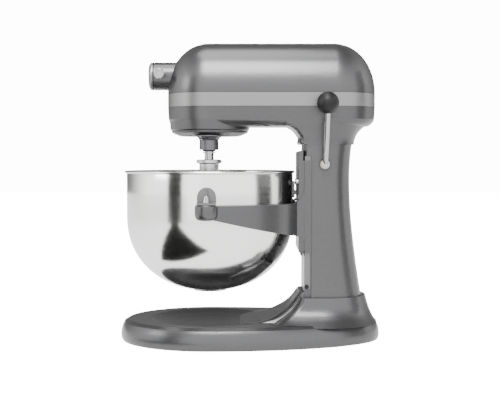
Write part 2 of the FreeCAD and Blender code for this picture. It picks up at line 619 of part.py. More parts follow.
# ---------------------------------------------------------------- motor
def build_motor():
    def along(radius, y, inner=0.0):
        solid = cylinder(radius, y[1] - y[0], (0, y[0], MOTOR_Z), Y)
        return solid.cut(cylinder(inner, y[1] - y[0], (0, y[0], MOTOR_Z), Y)) if inner else solid
    stator = along(STATOR_R, STATOR_Y, ARMATURE_R + 0.8)
    clips = [block((x - 5, x + 5), (STATOR_Y[0], STATOR_Y[1]), (MOTOR_Z - 2, MOTOR_Z + 2))
             for x in (STATOR_R + 2, -STATOR_R - 2)]
    save("motor_stator", fused(stator, *clips).cut(along(STATOR_R - 6, STATOR_Y)).fuse(
        along(STATOR_R - 5, STATOR_Y, ARMATURE_R + 0.8)).removeSplitter())
    brackets = []
    for y in (FRONT_BRACKET, REAR_BRACKET):
        foot_z = FLOOR_Z if y == FRONT_BRACKET else BAND_Z - 20
        plate = block((-38, 38), y, (foot_z, MOTOR_Z + 22))
        plate = plate.cut(along(BEARING_R, (y[0] - 1,
                                            y[0] + BEARING_W))).cut(along(MOTOR_SHAFT_R + 1, (0, 150)))
        brackets.append(plate)
    save("motor_brackets", *brackets)
    rings = [along(BEARING_R, (y[0], y[0] + BEARING_W),
                   MOTOR_SHAFT_R + RUN) for y in (FRONT_BRACKET, REAR_BRACKET)]
    save("ball_bearings", *rings, tube(BEARING_R, CENTRE_SHAFT_R + RUN, 5, (0, BOWL_Y, FLOOR_Z - 4.5)))
    arms = [block((x - 4, x + 4), (124, REAR_BRACKET[0]), (MOTOR_Z - 6, MOTOR_Z + 6)) for x in (-30, 30)]
    boxes = [block((x - 13, x + 13), (112, 124), (MOTOR_Z - 6, MOTOR_Z + 6)) for x in (-29, 29)]
    tunnel = block((-60, 60), (114.5, 121.5), (MOTOR_Z - 3.5, MOTOR_Z + 3.5))
    save("brush_holders", *[fused(b, a).cut(tunnel) for a, b in zip(arms, boxes)])
    brush = block((12.4, 28), (114.8, 121.2), (MOTOR_Z - 3.2, MOTOR_Z + 3.2))
    save("carbon_brushes", *both(brush), *both(tube(2.8, 2.0, 14, (28, 118, MOTOR_Z), X)))
    board = block((-28, 28), (149, 151), (BAND_Z - 6, BAND_TOP + 24))
    parts_on_board = [block((-20, -6), (146, 149), (BAND_TOP, BAND_TOP + 14)),
                      cylinder(6, 3, (10, 149, BAND_TOP + 8), Y * -1)]
    save("speed_control_board", fused(board, *parts_on_board))

    # turning parts
    shaft = along(MOTOR_SHAFT_R, (-34, 148))
    laminations = along(ARMATURE_R, (56, 100), MOTOR_SHAFT_R)
    for i in range(12):
        angle = i * math.pi / 6
        slot = block((-1.2, 1.2), (55, 101), (15, 30))
        slot.rotate(V(0, 0, 0), Y, math.degrees(angle))
        slot.translate(V(0, 0, MOTOR_Z))
        laminations = laminations.cut(slot)
    windings = [along(ARMATURE_R - 4, y, MOTOR_SHAFT_R) for y in ((46, 56), (100, 109))]
    save("motor_armature", laminations, *windings)
    save("commutator", along(12, (110, 124), MOTOR_SHAFT_R))
    hub = along(10, (26, 40), MOTOR_SHAFT_R)
    for i in range(11):
        blade = block((-0.8, 0.8), (28, 39), (8, 33))
        blade.rotate(V(0, 33, 0), Z, 20)
        blade.rotate(V(0, 0, 0), Y, i * 360 / 11)
        blade.translate(V(0, 0, MOTOR_Z))
        hub = hub.fuse(blade)
    save("cooling_fan", hub)
    save("motor_shaft", shaft)
    save("worm", worm())


def worm():
    """Single-start worm on the motor shaft, its thread lead equal to the wheel's pitch."""
    lead = math.pi * MODULE
    length = 5 * lead
    start_y = WHEEL_Y - length / 2
    root, tip = WORM_PITCH_R - 1.15 * MODULE, WORM_PITCH_R + 0.8 * MODULE
    wide, thin = 0.36 * lead / 2 + 0.6, 0.36 * lead / 2 - 0.42
    helix = Part.Wire(Part.makeHelix(lead, length, root - 0.3).Edges)
    tooth = Part.makePolygon([V(root - 0.3, 0, -wide), V(tip, 0, -thin), V(tip, 0, thin),
                              V(root - 0.3, 0, wide), V(root - 0.3, 0, -wide)])
    thread = helix.makePipeShell([tooth], True, True)
    body = cylinder(root, length + 8, (0, 0, -4)).fuse(thread)
    body = body.common(cylinder(tip + 1, length + 8, (0, 0, -4)))
    body = body.cut(cylinder(MOTOR_SHAFT_R, length + 12, (0, 0, -6)))
    body.rotate(V(0, 0, 0), X, -90)
    # half a turn brings a groove, not the thread, opposite the wheel's middle tooth
    body.rotate(V(0, 0, 0), Y, 180)
    body.translate(V(0, start_y, MOTOR_Z))
    return body


# ---------------------------------------------------------------- gear shafts
def build_worm_wheel():
    centre = (WHEEL_X, WHEEL_Y)
    low, high = FLOOR_Z - 4, MOTOR_Z + 22
    # a tooth gap of the wheel faces the worm, which lies towards -X
    wheel = spur_gear(WHEEL_TEETH, centre, (MOTOR_Z - 5, MOTOR_Z + 5), math.pi + math.pi / WHEEL_TEETH,
                      share=0.34)
    hub = cylinder(9, 6, (*centre, MOTOR_Z - 11))
    save("worm_wheel", fused(wheel, hub).cut(cylinder(WHEEL_SHAFT_R, 60, (*centre, MOTOR_Z - 30))))
    # the pinion's tooth points at the centre gear's axis
    angle = math.atan2(BOWL_Y - WHEEL_Y, -WHEEL_X)
    pinion = spur_gear(DRIVE_TEETH, centre, (TRAIN_Z, TRAIN_Z + GEAR_FACE), angle)
    save("drive_pinion", pinion.cut(cylinder(WHEEL_SHAFT_R, 60, (*centre, TRAIN_Z - 20))))
    save("worm_wheel_shaft", cylinder(WHEEL_SHAFT_R, high - low, (*centre, low)))
    save("bronze_bushes",
         tube(WHEEL_BUSH_R, WHEEL_SHAFT_R + RUN, 5, (*centre, FLOOR_Z - 5)),
         tube(WHEEL_BUSH_R, WHEEL_SHAFT_R + RUN, 6, (*centre, high - 7)),
         tube(HUB_BORE, CENTRE_SHAFT_R + RUN, 10, (0, HUB_FRONT + 38, HUB_Z), Y),
         tube(LEVER_SHAFT_R + 1.5, LEVER_SHAFT_R + RUN, 12, (column_half(LEVER_Z) - 15, LEVER_Y, LEVER_Z), X))
    bridge = block((WHEEL_X - 12, WHEEL_X + 12), (WHEEL_Y - 12, FRONT_BRACKET[0]), (high - 7, high - 1))
    save("worm_wheel_bridge", bridge.cut(cylinder(WHEEL_BUSH_R, 20, (*centre, high - 10))))


def build_hub_drive():
    apex_y = BOWL_Y
    gear = bevel_gear(math.pi / 2 + math.pi / BEVEL_TEETH, CENTRE_SHAFT_R)
    # the gear on the hub shaft has its teeth behind it, towards +Y
    gear.rotate(V(0, 0, 0), X, -90)
    gear.translate(V(0, apex_y, HUB_Z))
    save("hub_bevel_gear", gear)
    back = apex_y - BEVEL_PITCH + 6
    bush_y = HUB_FRONT + 38
    shaft = cylinder(CENTRE_SHAFT_R, back - bush_y + 1, (0, bush_y - 1, HUB_Z), Y)
    socket_front = HUB_FRONT + 18
    socket = cylinder(HUB_BORE - 2, bush_y - 1 - socket_front, (0, socket_front, HUB_Z), Y)
    square = block((-4.8, 4.8), (socket_front - 1, socket_front + 15), (HUB_Z - 4.8, HUB_Z + 4.8))
    save("hub_drive_shaft", fused(shaft, socket).cut(square))


def build_planetary():
    low = BOSS_Z - 7.5
    disc = turned([(0, low), (40, low), (44, low + 0.8), (BOSS_R - 1.8, BOSS_Z - 2.6),
                   (BOSS_R - 1, BOSS_Z - 1.4), (BOSS_R - 1, BOSS_Z - GAP), (0, BOSS_Z - GAP)], (0, BOWL_Y))
    stem = turned([(0, low + 1), (AGIT_BOSS_R + 5, low + 1), (AGIT_BOSS_R + 5, low - 0.4),
                   (AGIT_BOSS_R + 2, low - 2.4),
                   (AGIT_BOSS_R, low - 6), (AGIT_BOSS_R, AGIT_BOSS_Z), (0, AGIT_BOSS_Z)],
                  (AGITATOR_X, BOWL_Y))
    carrier = fused(disc, stem)
    bore = cylinder(AGIT_BEARING_R, 60, (AGITATOR_X, BOWL_Y, AGIT_BOSS_Z + 2))
    carrier = carrier.cut(bore).cut(cylinder(AGIT_BEARING_R - 1.5, 8, (AGITATOR_X, BOWL_Y, AGIT_BOSS_Z - 1)))
    carrier = carrier.cut(cylinder(CENTRE_SHAFT_R, 20, (0, BOWL_Y, low - 1)))
    save("planetary_disc", carrier)
    save("agitator_bearings", *[tube(AGIT_BEARING_R, AGIT_SHAFT_R + RUN, 5, (AGITATOR_X, BOWL_Y, z))
                                for z in (AGIT_BOSS_Z + 2, BOSS_Z - 5.6)])
    save("agitator_seal", tube(AGIT_BEARING_R - 1.5, AGIT_SHAFT_R + RUN, 4,
                               (AGITATOR_X, BOWL_Y, AGIT_BOSS_Z - 2)))
    shaft_top = HUB_Z - BEVEL_PITCH + 2
    save("centre_shaft", cylinder(CENTRE_SHAFT_R, shaft_top - low, (0, BOWL_Y, low)))
    angle = math.atan2(WHEEL_Y - BOWL_Y, WHEEL_X)
    gear = spur_gear(CENTRE_TEETH, (0, BOWL_Y), (TRAIN_Z, TRAIN_Z + GEAR_FACE),
                     angle + math.pi / CENTRE_TEETH)
    windows = [cylinder(8, 20, (24 * math.cos(a), BOWL_Y + 24 * math.sin(a), TRAIN_Z - 1))
               for a in [i * math.pi / 3 for i in range(6)]]
    gear = gear.cut(cylinder(CENTRE_SHAFT_R, 60, (0, BOWL_Y, TRAIN_Z - 20))).cut(Part.makeCompound(windows))
    save("centre_gear", gear)
    bevel = bevel_gear(-math.pi / 2, CENTRE_SHAFT_R)
    bevel.translate(V(0, BOWL_Y, HUB_Z))
    save("centre_bevel_gear", bevel)


def build_agitator():
    top = BOSS_Z + 2 + GEAR_FACE
    shaft = cylinder(AGIT_SHAFT_R, top - (AGIT_BOSS_Z - 34), (AGITATOR_X, BOWL_Y, AGIT_BOSS_Z - 34))
    pin_z = AGIT_BOSS_Z - 24
    pin = cylinder(2.0, 2 * AGIT_SHAFT_R + 7, (AGITATOR_X, BOWL_Y - AGIT_SHAFT_R - 3.5, pin_z), Y)
    washer = tube(9.0, AGIT_SHAFT_R, 1.5, (AGITATOR_X, BOWL_Y, AGIT_BOSS_Z - 4.2))
    save("agitator_shaft", fused(shaft, washer).cut(pin))
    save("beater_drive_pin", pin)
    pinion = spur_gear(PLANET_TEETH, (AGITATOR_X, BOWL_Y), (BOSS_Z + 2, BOSS_Z + 1 + GEAR_FACE))
    save("agitator_pinion", pinion.cut(cylinder(AGIT_SHAFT_R, 30, (AGITATOR_X, BOWL_Y, BOSS_Z))))


def beater_top():
    return AGIT_BOSS_Z - 13.0


def build_beater():
    top = beater_top()
    centre = (AGITATOR_X, BOWL_Y)
    collar = turned([(0, top), (15, top), (17.7, top - 1.2), (17.7, top - 4.4), (15.5, top - 5.4),
                     (COLLAR_R, top - 6.4),
                     (COLLAR_R, top - 34), (11.5, top - 38), (0, top - 38)], centre)
    bore = cylinder(AGIT_SHAFT_R + RUN, 24, (*centre, top - 23))
    slot_h = 4.6
    pin_z = AGIT_BOSS_Z - 24
    pin_half = math.degrees(math.asin((2.0 + GAP) / AGIT_SHAFT_R))
    run = Part.makeCylinder(11.2, slot_h, V(*centre, pin_z - slot_h / 2), Z, TWIST + 2 * pin_half)
    run.rotate(V(*centre, 0), Z, 90 - TWIST - pin_half)
    other = run.copy()
    other.rotate(V(*centre, 0), Z, 180)
    entry = block((AGITATOR_X - 2.4, AGITATOR_X + 2.4), (BOWL_Y - 11.2, BOWL_Y + 11.2), (pin_z - 1, top + 1))
    entry.rotate(V(*centre, 0), Z, -TWIST)
    collar = collar.cut(bore).cut(run).cut(other).cut(entry)
    floor = max(BOWL_BOTTOM + 17.5, top - 190)
    depth = top - 34 - floor
    wide, foot = 0.29 * depth + 6, 0.15 * depth + 2
    ys = [(0, floor), (foot, floor), (foot + 5, floor + 9), (wide, floor + 0.42 * depth),
          (wide - 4, floor + 0.72 * depth),
          (16, floor + depth), (0, floor + depth + 4)]
    outline = [(BOWL_Y + y, z) for y, z in ys] + [(BOWL_Y - y, z) for y, z in reversed(ys[1:-1])]
    x = (AGITATOR_X - BLADE_T / 2, AGITATOR_X + BLADE_T / 2)
    frame = side_profile(outline, x)
    windows = []
    bars = 9.0
    for side in (-1, 1):
        for low, high in ((0.10, 0.40), (0.47, 0.74)):
            z0, z1 = floor + low * depth, floor + high * depth
            w0 = foot + (wide - foot) * min(low / 0.42, 1) - bars
            w1 = wide - 3 - bars
            pts = [(BOWL_Y + side * 4, z0), (BOWL_Y + side * w0, z0), (BOWL_Y + side * w1, z1),
                   (BOWL_Y + side * 4, z1)]
            windows.append(side_profile(pts, (x[0] - 1, x[1] + 1)))
    save("flat_beater", fused(collar, frame.cut(Part.makeCompound(windows)).cut(
        cylinder(AGIT_SHAFT_R + RUN, 24, (*centre, top - 23)))))


# ---------------------------------------------------------------- attachment hub
def build_hub():
    y = HUB_FRONT
    outer = turned_y([(0, y), (HUB_R - 1.2, y), (HUB_R, y + 1.2), (HUB_R, y + 48), (0, y + 48)], 0, HUB_Z)
    pin_z, pin_y = HUB_Z + HUB_R + 1.8, y + 2.5
    lugs = [block((x, x + 4), (y, y + 5), (HUB_Z + HUB_R - 3, pin_z + 2)) for x in (-9, 5)]
    hub = fused(outer, *lugs).cut(cylinder(HUB_BORE, HUB_BORE_DEPTH + 0.5, (0, y - 0.5, HUB_Z), Y))
    hub = hub.cut(cylinder(HUB_SHAFT_BORE, 48, (0, y + 0.5, HUB_Z), Y))
    hub = hub.cut(cylinder(HUB_BORE, 11, (0, HUB_BUSH_Y, HUB_Z), Y))
    hub = hub.cut(cylinder(1.5, 30, (-15, pin_y, pin_z), X)).cut(cylinder(3.8, 10, (-5, pin_y, pin_z), X))
    hub.rotate(V(0, 0, HUB_Z), Y, -90)
    hub = hub.cut(cylinder(KNOB_STEM_R + RUN, 20, (HUB_BORE - 3, y + 10, HUB_Z + 2), X))
    save("attachment_hub", hub)
    pin = cylinder(1.5, 18, (-9, pin_y, pin_z), X)
    pin.rotate(V(0, 0, HUB_Z), Y, -90)
    save("hub_hinge_pin", pin)
    cap = turned_y([(0, y - HUB_CAP_T), (HUB_R - 4, y - HUB_CAP_T + 0.4), (HUB_R - 0.8, y - HUB_CAP_T + 2.4),
                    (HUB_R, y - HUB_CAP_T + 4), (HUB_R, y - GAP), (0, y - GAP)], 0, HUB_Z)
    knuckle = cylinder(3.2, 9.2, (-4.6, pin_y, pin_z), X).fuse(
        block((-4.6, 4.6), (y - 4.5, y - GAP), (HUB_Z + HUB_R - 4, pin_z + 1.5)))
    knuckle = knuckle.fuse(block((-4.6, 4.6), (y - 4.5, pin_y), (pin_z - 1, pin_z + 2.6)))
    cap = fused(cap, knuckle).cut(cylinder(1.5 + RUN, 12, (-6, pin_y, pin_z), X))
    cap.rotate(V(0, 0, HUB_Z), Y, -90)
    save("hub_cover", cap)
    x = HUB_R + 5.7
    stem = cylinder(KNOB_STEM_R, x - HUB_BORE - 0.5, (HUB_BORE + 0.5, y + 10, HUB_Z + 2), X)
    collar = cylinder(KNOB_STEM_R + 1.5, 3, (HUB_R + GAP, y + 10, HUB_Z + 2), X)
    disc = cylinder(KNOB_R, 5.0, (x, y + 10, HUB_Z + 2), X)
    notches = []
    for i in range(18):
        a = 2 * math.pi * i / 18
        notches.append(cylinder(0.7, 7, (x - 1, y + 10 + (KNOB_R + 0.2) * math.cos(a),
                                         HUB_Z + 2 + (KNOB_R + 0.2) * math.sin(a)), X))
    save("attachment_knob", fused(disc.cut(Part.makeCompound(notches)), stem, collar))


# ---------------------------------------------------------------- bowl
def bowl_outline(inset):
    """(radius, z) points of the bowl's wall from the rim down to the flat bottom."""
    points = []
    for i in range(15):
        r, z = superellipse(BOWL_R - inset, BOWL_ROUND - inset, BOWL_POWER, i / 14)
        if r > BOWL_FLAT:
            points.append((r, BOWL_TURN_Z - z))
    share = (BOWL_FLAT / (BOWL_R - inset)) ** BOWL_POWER
    flat_z = BOWL_TURN_Z - (BOWL_ROUND - inset) * (1 - share) ** (1 / BOWL_POWER)
    return points, flat_z


def bowl_solid(inset, top):
    points, flat_z = bowl_outline(inset)
    curve = spline_edge([(r, 0, z) for r, z in points] + [(BOWL_FLAT, 0, flat_z)])
    r = points[0][0]
    edges = [curve, Part.makeLine(V(BOWL_FLAT, 0, flat_z), V(0, 0, flat_z)),
             Part.makeLine(V(0, 0, flat_z), V(0, 0, top)), Part.makeLine(V(0, 0, top), V(r, 0, top)),
             Part.makeLine(V(r, 0, top), V(r, 0, BOWL_TURN_Z))]
    solid = Part.Face(Part.Wire(Part.sortEdges(edges)[0])).revolve(V(0, 0, 0), Z, 360)
    solid.translate(V(0, BOWL_Y, 0))
    return solid


def build_bowl():
    rim = turned([(BOWL_R - 0.6, BOWL_RIM_Z - 3.2), (BOWL_R + 2.2, BOWL_RIM_Z - 2.8),
                  (BOWL_R + 2.9, BOWL_RIM_Z - 1.3),
                  (BOWL_R + 2.2, BOWL_RIM_Z), (BOWL_R - BOWL_WALL, BOWL_RIM_Z),
                  (BOWL_R - BOWL_WALL, BOWL_RIM_Z - 3.2)], (0, BOWL_Y))
    outer = bowl_solid(0, BOWL_RIM_Z - 0.5)
    shell = fused(outer, rim).cut(bowl_solid(BOWL_WALL, BOWL_RIM_Z + 1))
    save("bowl_shell", shell)

    solid = bowl_solid(0, BOWL_RIM_Z)
    width = 12.5
    base_z, top_z = SEAT_Z, SEAT_Z + 22.5
    plan = [(BOWL_R - 4, BOWL_Y - width), (BOWL_R + 5.0, BOWL_Y - width), (BOWL_R + 5.0, BOWL_Y + width),
            (BOWL_R - 4, BOWL_Y + width)]
    plate = plan_profile(plan, (base_z, top_z))
    crown = [(BOWL_Y + y, z) for y, z in arc_points((0, top_z - width), width, 0, 180, 9)]
    plate = plate.common(side_profile([(BOWL_Y + width, base_z)] + crown + [(BOWL_Y - width, base_z)],
                                      (60, 150)))
    ledge = block((BOWL_R, CUP_X + CUP_R - 2.5), (BOWL_Y - width, BOWL_Y + width), (base_z, base_z + 2.4))
    step = block((BOWL_R, CUP_X - PIN_R - 1.6), (BOWL_Y - width, BOWL_Y + width), (base_z + 2, base_z + 4.2))
    ear = fused(plate, ledge, step).cut(solid).cut(
        cylinder(PIN_R + 0.6, 20, (CUP_X, BOWL_Y, base_z - 1)))
    save("bowl_brackets", *both(ear))

    clip_y = BOWL_Y + BOWL_R
    clip = block((-13, 13), (clip_y - 12, clip_y + 2.2), (BOWL_RIM_Z - 38, BOWL_RIM_Z - 15))
    hook = block((-9, 9), (clip_y - 10, clip_y + 4.6), (BOWL_RIM_Z - 34, BOWL_RIM_Z - 28))
    save("bowl_latch_clip", fused(clip, hook).cut(solid))

    z_top, z_low, bar = BOWL_RIM_Z - 12, BOWL_RIM_Z - 70, 4.5
    reach = BOWL_R + HANDLE_REACH
    outer = [(BOWL_R - 8, z_top), (reach - 14, z_top), (reach - 4, z_top - 5), (reach, z_top - 15),
             (reach - 6, z_low + 12), (reach - 18, z_low + 2), (BOWL_R - 12, z_low + 4)]
    inner = [(BOWL_R - 14, z_top - bar * 2), (reach - 17, z_top - bar * 2), (reach - 10, z_top - 17),
             (reach - 15, z_low + 15), (reach - 22, z_low + 11), (BOWL_R - 14, z_low + 12)]
    def strap(points, half):
        return polygon([(r, -half, z) for r, z in points]).extrude(V(0, 2 * half, 0))
    handle = strap(outer, 10).cut(strap(inner, 11))
    handle.rotate(V(0, 0, 0), Z, HANDLE_ANGLE)
    handle.translate(V(0, BOWL_Y, 0))
    save("bowl_handle", handle.cut(solid))


# ---------------------------------------------------------------- yoke
def yoke_cup():
    x, y = CUP_X, BOWL_Y
    cup = turned([(0, CUP_BASE), (CUP_R - 7, CUP_BASE), (CUP_R - 3, CUP_BASE + 1.4),
                  (CUP_R - 0.8, CUP_BASE + 4),
                  (CUP_R, CUP_BASE + 7.5),
                  (CUP_R, CUP_TOP - 1), (CUP_R - 1, CUP_TOP), (0, CUP_TOP)], (x, y))
    return cup


def yoke_arm():
    """Right arm in plan: an arc round the bowl, then a leg beside the column."""
    inner = BOWL_R + YOKE_GAP
    outer = inner + ARM_T
    end = math.degrees(math.acos(YOKE_LEG_X[0] / inner))
    centre = (0, BOWL_Y)
    plan = (arc_points(centre, outer, 0, end, 13) + [(YOKE_LEG_X[1], YOKE_LEG_Y[1]),
                                                     (YOKE_LEG_X[0], YOKE_LEG_Y[1])]
            + arc_points(centre, inner, end, 0, 13))
    body = plan_profile(plan, (CUP_BASE - 60, LEVER_Z + 10))
    y0, y1 = YOKE_LEG_Y
    leg_top, leg_low = LEVER_Z + 5, CUP_BASE - 49.4
    knee = y0 - 18
    upper = [(knee + 18 * math.sin(a), ARM_TOP + 24 * (1 - math.cos(a)))
             for a in [math.radians(15 * i) for i in range(7)]]
    lower = [(y0 - 9 + x, leg_low + 14 + z) for x, z in arc_points((0, 0), 9, 90, 0, 5)]
    side = ([(BOWL_Y, CUP_BASE + 2.6), (BOWL_Y, ARM_TOP)] + upper + [(y0, leg_top), (y1, leg_top),
                                                                     (y1, leg_low + 6),
            (y1 - 3, leg_low + 6), (y1 - 3, leg_low), (y0, leg_low)] + lower[::-1]
            + [(y0 - 25, CUP_BASE - 22.4)])
    return body.common(side_profile(side, (20, 160)))


def build_yoke():
    top, low = LEVER_Z + 19, CUP_BASE - 56
    back = COLUMN_FRONT - 2.0
    half = YOKE_LEG_X[1] - YOKE_STEP
    plate = block((-half, half), (YOKE_FRONT, back), (low, top))
    taper = side_profile([(YOKE_FRONT - 1, top + 1), (YOKE_FRONT - 1, top - 2), (YOKE_FRONT + 0.1, top - 2),
                          (back - 1, top), (back + 1, top + 1)], (-90, 90))
    chin = side_profile([(YOKE_FRONT - 1, low - 1), (back - 1, low - 1), (YOKE_FRONT, low + 9),
                         (YOKE_FRONT - 1, low + 9)],
                        (-90, 90))
    corners = [(half + 1, low - 1), (half - 16, low - 1), (half + 1, low + 40)]
    cut = polygon([(x, YOKE_FRONT - 1, z) for x, z in corners]).extrude(V(0, back - YOKE_FRONT + 2, 0))
    plate = plate.cut(taper).cut(chin).cut(cut).cut(mirrored(cut))
    leg = block(YOKE_LEG_X, YOKE_LEG_Y, (CUP_BASE - 49.4, LEVER_Z + 5)).fuse(
        block((YOKE_LEG_X[0], half), (YOKE_FRONT, YOKE_LEG_Y[0] + 1), (CUP_BASE - 47, LEVER_Z + 5)))
    arm = fused(yoke_arm(), yoke_cup(), leg)
    yoke = fused(plate, arm, mirrored(arm))
    bowl_room = cylinder(BOWL_R + YOKE_GAP, 60, (0, BOWL_Y, CUP_BASE - 30))
    yoke = yoke.cut(bowl_room)
    rail_room = block((RAIL_X - 1, RAIL_X + RAIL_T + GAP), (back, YOKE_LEG_Y[1] + 1), (low - 1, top + 1))
    yoke = yoke.cut(rail_room).cut(mirrored(rail_room))
    for x in (-18, 18):
        yoke = yoke.cut(cylinder(2.5, 20, (x, YOKE_FRONT - 5, LEVER_Z - 25), Y))
    for z in (BOWL_RIM_Z - 44,):
        yoke = yoke.cut(cylinder(2.0, 20, (0, YOKE_FRONT - 5, z), Y))
    pin_holes = [cylinder(PIN_R - 1.2, 14, (x, BOWL_Y, CUP_TOP - 12)) for x in (-CUP_X, CUP_X)]
    yoke = yoke.cut(Part.makeCompound(pin_holes))
    save("bowl_yoke", yoke)

    pin = turned([(0, CUP_TOP - 12), (PIN_R - 1.2, CUP_TOP - 12), (PIN_R - 1.2, CUP_TOP), (PIN_R, CUP_TOP),
                  (PIN_R, CUP_TOP + 3.5), (PIN_R - 1.6, CUP_TOP + PIN_H - 0.8),
                  (PIN_R - 2.4, CUP_TOP + PIN_H),
                  (0, CUP_TOP + PIN_H)], (CUP_X, BOWL_Y))
    save("locating_pins", *both(pin))

    spring = side_profile([(YOKE_FRONT - 1.2, BOWL_RIM_Z - 48), (YOKE_FRONT, BOWL_RIM_Z - 48),
                           (YOKE_FRONT, BOWL_RIM_Z - 36), (YOKE_FRONT - 1.4, BOWL_RIM_Z - 14),
                           (YOKE_FRONT - 1.2, BOWL_RIM_Z - 36)], (-7, 7))
    screw_z = BOWL_RIM_Z - 44
    save("bowl_latch_spring", spring.cut(cylinder(2.0, 20, (0, YOKE_FRONT - 5, screw_z), Y)))
    spring_screw = screw(2.0, back - YOKE_FRONT + 1.0, (0, YOKE_FRONT - 1.2, screw_z), Y, 3.6, 1.6)

    # lift bracket: a foot behind the yoke plate and a web with a level slot for the crank roller
    pin_z = LEVER_Z + CRANK_R * math.cos(math.radians(CRANK_REST))
    slot_half = ROLLER_R + ROLLER_PLAY
    z0, z1 = pin_z - slot_half - 5, pin_z + slot_half + 4
    y_far = LEVER_Y + CRANK_R + ROLLER_R + 2.5
    y_near = LEVER_Y - ROLLER_R - 4
    arm_z = (LEVER_Z - 33, LEVER_Z - 12)
    web = side_profile([(back, arm_z[0]), (y_near + 4, arm_z[0]), (y_near + 10, z0), (y_far, z0), (y_far, z1),
                        (y_near - 2, z1), (y_near - 2, arm_z[1] + 8), (back + 12, arm_z[1]),
                        (back, arm_z[1])],
                       (-BRACKET_T / 2, BRACKET_T / 2))
    slot = side_profile([(y_near + 3, pin_z - slot_half), (y_far - 2, pin_z - slot_half),
                         (y_far - 2, pin_z + slot_half), (y_near + 3, pin_z + slot_half)],
                        (-BRACKET_T, BRACKET_T))
    save("lift_bracket", web.cut(slot))
    nuts = [screw(2.5, back - YOKE_FRONT, (x, YOKE_FRONT, LEVER_Z - 25), Y, 4.5, 2.4) for x in (-18, 18)]
    save("yoke_screws", *nuts, spring_screw)


# ---------------------------------------------------------------- lift lever
def build_lever():
    half = column_half(LEVER_Z)
    x_in = BRACKET_T / 2 + 1.0
    shaft = cylinder(LEVER_SHAFT_R, half + 4 - x_in, (x_in, LEVER_Y, LEVER_Z), X)
    shaft = fused(shaft, cylinder(LEVER_SHAFT_R + 1.2, 3.5, (half + 2, LEVER_Y, LEVER_Z), X))
    save("lift_shaft", shaft)
    a = math.radians(CRANK_REST)
    pin_y, pin_z = LEVER_Y + CRANK_R * math.sin(a), LEVER_Z + CRANK_R * math.cos(a)
    web = cylinder(9, 7, (x_in, LEVER_Y, LEVER_Z), X).fuse(cylinder(6, 7, (x_in, pin_y, pin_z), X))
    bar = block((x_in, x_in + 7), (-6, 6), (0, CRANK_R))
    bar.rotate(V(0, 0, 0), X, -CRANK_REST)
    bar.translate(V(0, LEVER_Y, LEVER_Z))
    crank = fused(web, bar).cut(cylinder(LEVER_SHAFT_R, 9, (x_in - 1, LEVER_Y, LEVER_Z), X))
    pin_x = -BRACKET_T / 2 - 1
    save("lift_crank", fused(crank, cylinder(2.5, x_in + 3 - pin_x, (pin_x, pin_y, pin_z), X)))
    save("crank_roller", tube(ROLLER_R, 2.5, BRACKET_T + 1.2, (pin_x + 0.4, pin_y, pin_z), X))

    # rod: out of the shaft, one bend, then up to the knob
    kx, ky, kz = LEVER_KNOB_X, LEVER_Y + 1.0, LEVER_Z + LEVER_REACH
    start = V(half + 5.5, LEVER_Y, LEVER_Z)
    corner = V(half + 13, LEVER_Y, LEVER_Z + 7)
    tip = V(kx, ky, kz - LEVER_KNOB_R * 0.6)
    d1, d2 = (corner - start).normalize(), (tip - corner).normalize()
    reach = 8.0
    a1, a2 = corner - d1 * reach, corner + d2 * reach
    bend_r = reach / math.tan(d1.getAngle(d2) / 2)
    normal = d1.cross(d2).cross(d1).normalize()
    centre = a1 + normal * bend_r
    mid = centre + (corner - centre).normalize() * bend_r
    path = Part.Wire([Part.makeLine(start, a1), Part.Arc(a1, mid, a2).toShape(), Part.makeLine(a2, tip)])
    section = Part.Wire([Part.Circle(start, d1, LEVER_ROD_R).toShape()])
    rod = path.makePipeShell([section], True, True)
    root = cylinder(5.6, 6, (half + 5.5, LEVER_Y, LEVER_Z), X)
    save("lift_lever", fused(rod, root).cut(shaft))
    r = LEVER_KNOB_R
    ball = turned([(0, r * 1.06)] + [(r * math.cos(math.radians(t)), r * 1.06 * math.sin(math.radians(t)))
                                     for t in range(80, -71, -10)] + [(0, -r * 1.06 * 0.94)])
    lean = math.degrees(Z.getAngle(d2))
    ball.rotate(V(0, 0, 0), Z.cross(d2), lean)
    ball.translate(V(kx, ky, kz))
    save("lever_knob", ball.cut(rod))


# ---------------------------------------------------------------- speed lever
def build_speed_lever():
    y, z = SPEED_Y[0] + SPEED_SLOT_H / 2 + 1.5, BAND_Z + BAND_H / 2
    x = -HEAD_HALF
    stem = cylinder(2.4, 18, (x - 8, y, z), X)
    slider = block((x + 8, x + 14), (y - 6, y + 6), (z - 3.5, z + 3.5))
    save("speed_lever", fused(stem, slider))
    knob = cylinder(6.2, 13, (x - 18, y, z), X)
    knob = knob.makeFillet(2.4, [e for e in knob.Edges if len(e.Vertexes) == 1])
    save("speed_knob", knob.cut(cylinder(2.4, 30, (x - 8, y, z), X)))


def main():
    os.makedirs("parts", exist_ok=True)
    build_base()
    build_column()
    build_gearcase()
    build_motor()
    build_worm_wheel()
    build_hub_drive()
    build_planetary()
    build_agitator()
    build_beater()
    build_hub()
    build_bowl()
    build_yoke()
    build_lever()
    build_speed_lever()


main()
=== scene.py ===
"""Bowl-lift stand mixer: finishes, finer pieces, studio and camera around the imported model."""

import json
import logging
import math
from dataclasses import dataclass
from enum import Enum
from typing import Sequence

import bmesh
import bpy
from mathutils import Matrix, Vector

